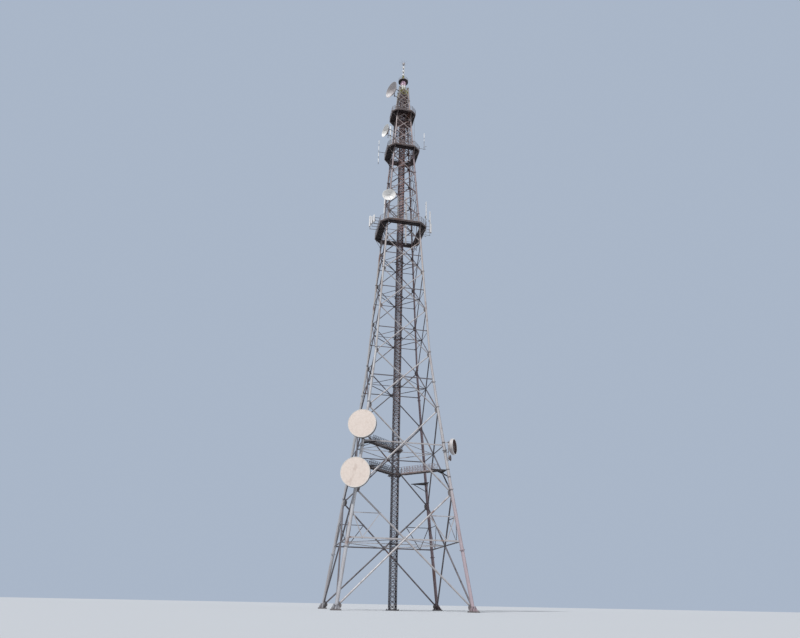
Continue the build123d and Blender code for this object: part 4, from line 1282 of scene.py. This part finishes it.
def open_dish(name, shell, inside, rim_paint=None, rim_rings=0, stay=None, post=None, **mount):
    """Open dish on its mount. stay is how far up the leg a rod runs and its finish. post is the place
    ahead of the leg, the lengths below and above the dish's middle and the finish of a post beside it."""
    sx, sy, place, angle, diameter, rim, skirt, tail = OPEN_DISHES[name]
    z, ahead = at(place), heading(angle)
    middle = leg_point(sx, sy, z)
    gap = rim - diameter * DISH_DEPTH_RATIO - skirt
    b = Build()
    dish_bowl(b, middle + ahead * gap, ahead, diameter, skirt, shell, inside, rim_paint, rim_rings)
    dish_mount(b, sx, sy, z, ahead, diameter, gap - MOUNT_GAP, tail, **mount)
    if post:
        reach, low, high, paint = post
        spot = middle + ahead * reach
        pole(b, spot, -low, high, POST_R, paint)
        for tip in (-low, high):
            pole(b, spot, tip - 2, tip + 2, POST_R + 1, "plates")
        for level in (-MOUNT_SPREAD, MOUNT_SPREAD):
            band(b, spot + UP * (level * diameter), POST_R - 0.2, POST_R + 2.5, 12)
    if stay:
        rise, paint = stay
        grip = middle + ahead * (rim - skirt - 6) + UP * (diameter / 2 - 4)
        foot = leg_point(sx, sy, z + rise)
        tube(b, grip, foot + (grip - foot).normalized() * leg_radius(z + rise) * 0.8, 3.8, paint, 12)
        pole(b, grip, -3, 3, 4.0, "plates", 12)
    piece(f"{name}_bowl", b, name)


def small_dish():
    """Small dish lower down on the pipe of the right dish."""
    sx, sy, place, angle, diameter, rim, skirt, _ = OPEN_DISHES["dish_right"]
    ahead = heading(angle)
    gap = rim - diameter * DISH_DEPTH_RATIO - skirt
    back = leg_point(sx, sy, at(place)) - UP * SMALL_DISH_DROP + ahead * gap
    b = Build()
    # Painted shade: the whole small dish takes the dark shade finish.
    dish_bowl(b, back, ahead, SMALL_DISH_D, 0, "dish_brown", "dish_brown", ribs=6)
    for level in (-7, 7):
        bracket(b, back - ahead * MOUNT_GAP + UP * level, ahead, (5.2, 7.4, 6), MOUNT_GAP + 2, flat(6, 8),
                (6.3, 7, 1.1, 14))
    piece("dish_right_small_bowl", b, "dish_right_small")


# Panel and whip antennas. Their places are measured from the platform's edge and floor.


def stand_off(b, spot, edge, low, high, levels, paint="rails"):
    """Upright pipe beside a platform on clamped arms, from a spot at the height of the floor."""
    out = RIGHT * math.copysign(1, spot.x)
    r = PANEL_PIPE / 2
    pole(b, spot, low, high, r, paint, 16)
    pole(b, spot, high, high + 1.5, r + 0.6, "plates", 16)
    for level in levels:
        hold = spot + UP * level
        for shift in (-2.6, 2.6):
            end = hold + UP * shift
            bar(b, end - out * (abs(spot.x) - edge + 4), end, angle_iron(4, 2.2, 0.8), "plates")
        band(b, hold, r - 0.4, r + 1.8, 10, sides=16)
        for k in (-3, 3):
            bolt(b, hold - out * 7 + BACK * k, out, 1.0, 13)


def panel_cover(b, foot, height, shape, small, end, paint, near, base=None):
    """Upright cover whose two ends taper to a smaller outline."""
    upright(b, foot, 0, end, small, base or paint, near, shape)
    upright(b, foot, end, height - end, shape, paint, near)
    upright(b, foot, height - end, height, shape, paint, near, small)


def panel_antennas(name):
    edge, floor = platform_edge("big_platform")
    ahead = heading(PANEL_HEADINGS[name])
    levels = (ARM_LOW, ARM_HIGH)
    r = PANEL_PIPE / 2
    b = Build()
    for side, y, out, low, width, height in PANEL_ANTENNAS[name]:
        spot = Vector((side * (edge + out), y, floor))
        slim = width < 15
        stand_off(b, spot, edge, min(low, ARM_LOW) - PANEL_PIPE, low + height - PANEL_PIPE, levels,
                  "plastic" if slim else "rails")
        if slim:
            pole(b, spot, RAILING_H + 8, low - 4, width * 0.42, "plastic")
        foot = spot + UP * low + ahead * (r + PANEL_T / 2)
        corner = min(4.5, width / 3)
        panel_cover(b, foot, height, rounded(PANEL_T - 1, width, corner),
                    rounded(PANEL_T - 3, width - 2.5, corner - 0.5), 3, "plastic", ahead, "shroud")
        for k in (-0.28, 0.0, 0.28):
            pole(b, foot + ahead.cross(UP) * (k * width), -6, 0, 1.8, "bolts", 12)
        for share in (0.14, 0.86):
            bracket(b, spot + UP * (low + height * share), ahead, (r - 0.4, r + 2, 8), 6.5,
                    flat(7, 0.7 * width), (5, 7, 1.0, 12), 16)
        upright(b, spot - ahead * 12, low + 36, low + 76, rounded(12, 20, 2), "shroud", ahead)
    piece(f"{name}_set", b, name)


def comb_antenna(b, root, ahead, long):
    """Boom with four short cross rods."""
    across = ahead.cross(UP).normalized()
    tube(b, root - ahead * 14, root + ahead * (long - 16), 2.0, "plates", 10)
    band(b, root, 3.0, 5.6, 8, sides=16)
    for k in range(4):
        spot = root + ahead * (long * (0.1 + 0.2 * k) - 12)
        wide = across * (18 - 2.4 * k)
        tube(b, spot - wide, spot + wide, 1.3, "plastic" if k % 2 else "rails", 8)


def whip(name, dipoles):
    side, y, out, low, length, on_railing = WHIPS[name]
    edge, floor = platform_edge("middle_platform")
    spot = Vector((side * (edge + out), y, floor))
    arm_at = ARM_HIGH if on_railing else ARM_LOW
    foot = spot + UP * low
    b = Build()
    stand_off(b, spot, edge, min(low, arm_at - PANEL_PIPE), low + PANEL_PIPE, (arm_at,))
    pole(b, foot, 0, 22, 4.6, "plates", 18)
    pole(b, foot, 22, length, 2.8, "rails", 16, end=2.0)
    for z0, z1 in dipoles:
        pole(b, foot, z0, z1, 5.4, "drum", 18)
        for end in (z0, z1):
            band(b, foot + UP * end, 2.8, 5.4, 3, sides=18)
        loop = [(4.5, z0), (10.5, z0 + 4), (10.5, z1 - 4), (4.5, z1)]
        path = [foot + Vector((side * x, 0, z)) for x, z in loop]
        sweep(b, path, disc(1.1, 8), "plastic", near=BACK, closed=False)
    if on_railing:
        for height, long, turn, rise in ((46, 74, -0.5, 0.25), (4, 60, 0.35, 0.3)):
            ahead = Vector((math.cos(turn), math.sin(turn), rise)).normalized()
            comb_antenna(b, spot + UP * (arm_at + height), ahead, long)
    piece(f"{name}_array", b, name)


def deck_pole(name, paint, dipoles=(), radius=3.5):
    """Pole on a platform's deck, with short antenna elements at distances below its top."""
    platform, x, y, top_place = DECK_POLES[name]
    foot = Vector((x, y, platform_edge(platform)[1]))
    top = at(top_place) - foot.z
    b = Build()
    collar(b, foot, UP, 3, 12, 2.5)
    bolt_ring(b, foot + UP * 1.5, UP, 9, 4, 1.3, 4)
    pole(b, foot, 0, top, radius, paint, 16, end=radius * 0.8)
    pole(b, foot, top - 3, top - 0.5, 4.0, "plates", 16)
    for low, high in dipoles:
        pole(b, foot, top - high, top - low, radius + 2.2, "drum", 18)
        for down in (high, low):
            band(b, foot + UP * (top - down), radius * 0.8, radius + 2.8, 3, sides=18)
    piece(f"{name}_tube", b, name)


# Head of the tower.


def head_cap():
    b, part = Build(), Build()
    middle, base = CAP_HALF - CAP_BEAM / 2, HEAD_MAST_HALF - 1
    for y in (-CAP_HALF + 1.5, -CAP_HALF + CAP_BEAM - 1.5):
        bar(part, (-CAP_HALF, y, CAP_TOP - 2), (CAP_HALF, y, CAP_TOP - 2), angle_iron(3, 4, 1.0), "olive")
    for i in range(5):
        x, y, z = middle * ((2 * i + 1) / 5 - 1), -CAP_HALF + 2, CAP_TOP - 1
        bar(part, (x, y, z), (x, y + CAP_BEAM - 4, z), flat(1.6, 3), "olive")
    for y in (-CAP_CROSS / 2 + 1, CAP_CROSS / 2 - 1):
        z = LEG_TOP + CAP_T / 2
        bar(part, (HEAD_MAST_HALF - 4, y, z), (middle, y, z), angle_iron(3, CAP_T, 1.0), "olive")
    corner = Vector((-middle, -middle, CAP_TOP))
    collar(part, corner, UP, 8, 15, 3, sides=24)
    bolt_ring(part, corner + UP * 2, UP, 11.5, 6, 1.6, 4)
    for share in (-1, -0.33, 0.33):
        bolt(part, (share * (HEAD_MAST_HALF - 6), 6 - HEAD_MAST_HALF, CAP_TOP), UP, 2.2, 4)
    b.around(part)
    plate(b, square(base, LEG_TOP + 2), UP * (CAP_T - 2), "olive")
    for k in (-22, 0, 22):
        for near in (RIGHT, BACK):
            spot, end = near.cross(UP) * k + UP * (LEG_TOP + 1.2), near * (base - 1)
            bar(b, spot - end, spot + end, flat(2.4, 2), "olive")
    piece("head_cap_frame", b, "head_cap")


def head_mast():
    b, part = Build(), Build()
    post_at, bar_at, bays = 3.5 - HEAD_MAST_HALF, 2 - HEAD_MAST_HALF, 5
    upright(part, (post_at, post_at, 0), CAP_TOP, RING_Z, angle_iron(7, 7, 1.6), "olive", near=RIGHT)
    pitch = (RING_Z - CAP_TOP - 8) / bays
    for i in range(bays + 1):
        z = CAP_TOP + 4 + pitch * i
        left, right = (bar_at, bar_at, z), Vector((-bar_at, bar_at, z))
        bar(part, left, right, angle_iron(5, 4, 1), "olive", near=BACK)
        if i < bays:
            bar(part, left, right + UP * pitch, flat(1.4, 4), "olive", near=BACK)
    corners = [(0, 0), (-28, 0), (0, 30)]
    plate(part, [(-1, bar_at + y, CAP_TOP + z) for y, z in corners], RIGHT * 2, "olive")
    b.around(part)
    pole(b, Vector(), CAP_TOP, RING_Z, 11, "core", 24)
    piece("head_mast_frame", b, "head_mast")


def head_panels():
    b, part = Build(), Build()
    wide = HEAD_PANEL_W / 2 - 4
    shape, small = rounded(HEAD_PANEL_T - 3, wide, 5), rounded(HEAD_PANEL_T - 6, wide - 5, 4)
    for i in range(HEAD_TIERS):
        top = CAP_TOP + (i + 1) * (HEAD_PANEL_H + HEAD_PANEL_GAP)
        high = HEAD_PANEL_H + (0 if i else HEAD_PANEL_DROP)
        for x in (-wide / 2 - 4, wide / 2 + 4):
            foot = (x, -HEAD_MAST_HALF - HEAD_PANEL_T / 2 - 1, top - high)
            # The upper tier is pink where the lower one is white; part of that pink is painted shade from the
            # ring above.
            panel_cover(part, foot, high, shape, small, 5, "plastic_pink" if i else "drum", BACK)
        for share in (0.2, 0.8):
            y, z = -HEAD_MAST_HALF - 2, top - HEAD_PANEL_H * share
            bar(part, (-20, y, z), (20, y, z), flat(6, 6), "plates")
    b.around(part)
    piece("head_panel_covers", b, "head_panels")


def ring_platform():
    b, centre, rail_at = Build(), UP * RING_Z, RING_R - 3
    collar(b, centre, UP, 16, RING_R, RING_T - 1.5, "deck", 48)
    collar(b, centre, UP, RING_R - 2.5, RING_R, RING_T + 8, "deck_edge", 48)
    for out in spokes(UP, 12):
        bar(b, centre + out * 20 - UP * 3, centre + out * rail_at - UP * 3, flat(6, 1.6), "deck")
        pole(b, centre + out * rail_at, 0, RING_RAIL_H, 1.5, "rails", 8)
    for high, radius in ((RING_RAIL_H, 1.9), (36, 1.3)):
        sweep(b, [centre + out * rail_at + UP * high for out in spokes(UP, 36)], disc(radius, 8), "rails")
    piece("ring_platform_deck", b, "ring_platform")


def top_mast():
    b, base = Build(), UP * (RING_Z + RING_T)
    collar(b, base - UP, UP, 5, 24, 4, "olive", 24)
    bolt_ring(b, base, UP, 19, 8, 1.8, 6)
    pole(b, base, 0, TOP_MAST_H - 2, 5.4, "deck_edge")
    collar(b, base + UP * (TOP_STRUT_H - 9), UP, 5, 12, 14, "olive", 24)
    for out in spokes(UP, 4):
        side = out.cross(UP)
        foot, head = base + out * TOP_STRUT_REACH, base + UP * TOP_STRUT_H + out * 7
        bar(b, foot + UP * 2, head, angle_iron(13, 13, 1.8), "olive", near=side)
        bar(b, foot - out * 8 + UP, foot + out * 6 + UP, flat(2.4, 14), "olive")
        for k in (-4.5, 4.5):
            bolt(b, foot + side * k + UP * 2, UP, 1.5, 3)
        low = foot.lerp(head, 0.45)
        bar(b, low, Matrix.Rotation(math.pi / 2, 3, "Z") @ low, angle_iron(8, 8, 1.2), "olive")
    r, h = TOP_DRUM_D / 2, TOP_DRUM_H
    profile = [(0, 0), (0, r * 0.45), (h * 0.06, r * 0.8), (h * 0.18, r), (h * 0.82, r), (h * 0.94, r * 0.8),
               (h, r * 0.45), (h, 0)]
    for i in range(TOP_DRUMS):
        foot = UP * (TOP_Z - TOP_TIP - h - i * TOP_DRUM_PITCH)
        spin(b, foot, UP, profile, "drum" if i else "dish_grey", 36)
        for share in (0.3, 0.5, 0.7):
            band(b, foot + UP * (h * share), r - 0.6, r + 0.7, 1.6, "shroud", 36)
        collar(b, foot - UP * 7, UP, 5, 9, 5)
    tip = UP * (TOP_Z - 5)
    spin(b, tip - UP * 2, UP, [(0, 0), (0, 7), (3, 7), (5, 0)], "plates")
    for out in spokes(UP, 8):
        tube(b, tip, tip + out * 92 + UP * 4, 1.1, "rails", 8, end=0.6)
    piece("top_mast_elements", b, "top_mast")


# Stage, light and camera, in metres.


def lay_floor():
    mesh = bpy.data.meshes.new("floor")
    mesh.from_pydata(square(60, 0), [], [(0, 1, 2, 3)])
    pale = bpy.data.materials.new("floor_pale")
    pale.use_nodes = True
    shader = pale.node_tree.nodes["Principled BSDF"]
    feed(pale.node_tree, shader, {"Base Color": (0.46, 0.48, 0.51), "Roughness": 0.9})
    mesh.materials.append(pale)
    made = add_object("floor", mesh)


def light_stage():
    """Soft light all round with a pale backdrop, a low wide fill and the sun."""
    scene = bpy.context.scene
    scene.view_settings.view_transform = "Standard"
    scene.world = bpy.data.worlds.new("studio")
    scene.world.use_nodes = True
    tree = scene.world.node_tree
    tree.nodes.clear()
    soft = node(tree, "ShaderNodeBackground", {"Color": (0.93, 0.96, 1.0), "Strength": 0.35}).outputs[0]
    pale = node(tree, "ShaderNodeBackground", {"Color": (0.40, 0.47, 0.58), "Strength": 1.0}).outputs[0]
    rays = node(tree, "ShaderNodeLightPath").outputs
    seen = rays["Is Camera Ray"]
    for kind in ("Is Glossy Ray", "Is Transmission Ray"):
        seen = node(tree, "ShaderNodeMath", {0: seen, 1: rays[kind]}, operation="MAXIMUM").outputs[0]
    mix = node(tree, "ShaderNodeMixShader", {0: seen, 1: soft, 2: pale}).outputs[0]
    node(tree, "ShaderNodeOutputWorld", {0: mix})
    lamps = {"key": (3.4, 3, (0.39, 0.38, -0.84)), "fill": (0.55, 40, (-0.7, 0.7, -0.2))}
    for name, (energy, spread, ahead) in lamps.items():
        lamp = bpy.data.lights.new(name, "SUN")
        lamp.energy = energy
        lamp.angle = math.radians(spread)
        holder = add_object(name, lamp)
        holder.rotation_mode = "QUATERNION"
        holder.rotation_quaternion = Vector(ahead).to_track_quat("-Z", "Y")


def aim_camera():
    yaw, pitch, roll = (math.radians(a) for a in CAMERA_TURNS)
    ahead = Vector((math.sin(yaw) * math.cos(pitch), math.cos(yaw) * math.cos(pitch), math.sin(pitch)))
    level = ahead.cross(UP).normalized()
    rise = level.cross(ahead)
    right = level * math.cos(roll) + rise * math.sin(roll)
    up = rise * math.cos(roll) - level * math.sin(roll)
    data = bpy.data.cameras.new("camera")
    data.sensor_width = 36.0
    data.lens = CAMERA_LENS
    data.clip_end = 500.0
    camera = add_object("camera", data)
    camera.matrix_world = Matrix.Translation(CAMERA_AT) @ Matrix((right, up, -ahead)).transposed().to_4x4()
    bpy.context.scene.camera = camera


def build_all():
    mix_lattice_finishes()
    mix_cable_and_deck_finishes()
    mix_dish_and_antenna_finishes()
    build_legs()
    build_sides()
    for level in range(PLAN_LEVELS):
        plan_bracing(level)
    core_foot()
    joints = (CORE_FOOT_T, LEVELS[2], at(PLATFORMS["big_platform"][0]), LEG_TOP)
    for name, z0, z1 in zip(BACK_FEEDERS, joints, joints[1:]):
        core_section(name, z0, z1)
    build_walkways()
    for name in PLATFORMS:
        platform_deck(name)
        platform_railing(name)
    for name in SHROUDED_DISHES:
        shrouded_dish(name)
    # The right dish's inside is painted shade.
    open_dish("dish_right", "dish_grey", "dish_brown", "drum")
    small_dish()
    open_dish("dish_spire_low", "dish", "dish", stay=(-70, "braces_dark"))
    # The middle spire dish's back is painted shade.
    open_dish("dish_spire_middle", "dish_brown", "dish", "dish", 1, stay=(20, "drum"),
              post=(106.0, 330.0, 165.0, "drum"), arm="plates")
    open_dish("dish_spire_high", "dish_grey", "dish_grey", pipe="braces_dark", pipe_r=6.4, arm="braces_dark",
              arm_r=6.4)
    for name in PANEL_ANTENNAS:
        panel_antennas(name)
    whip("whip_left", [(44, 130), (172, 268), (318, 420), (464, 560)])
    whip("whip_right", [(40, 84), (120, 236)])
    deck_pole("deck_pole_left", "drum", [(12, 160), (220, 350)], 6.5)
    deck_pole("deck_pole_right", "rails", [(0, 70), (180, 260), (300, 380), (420, 500)])
    deck_pole("deck_pole_upper", "cable_pale")
    head_cap()
    head_mast()
    head_panels()
    ring_platform()
    top_mast()
    lay_floor()
    light_stage()
    aim_camera()


build_all()
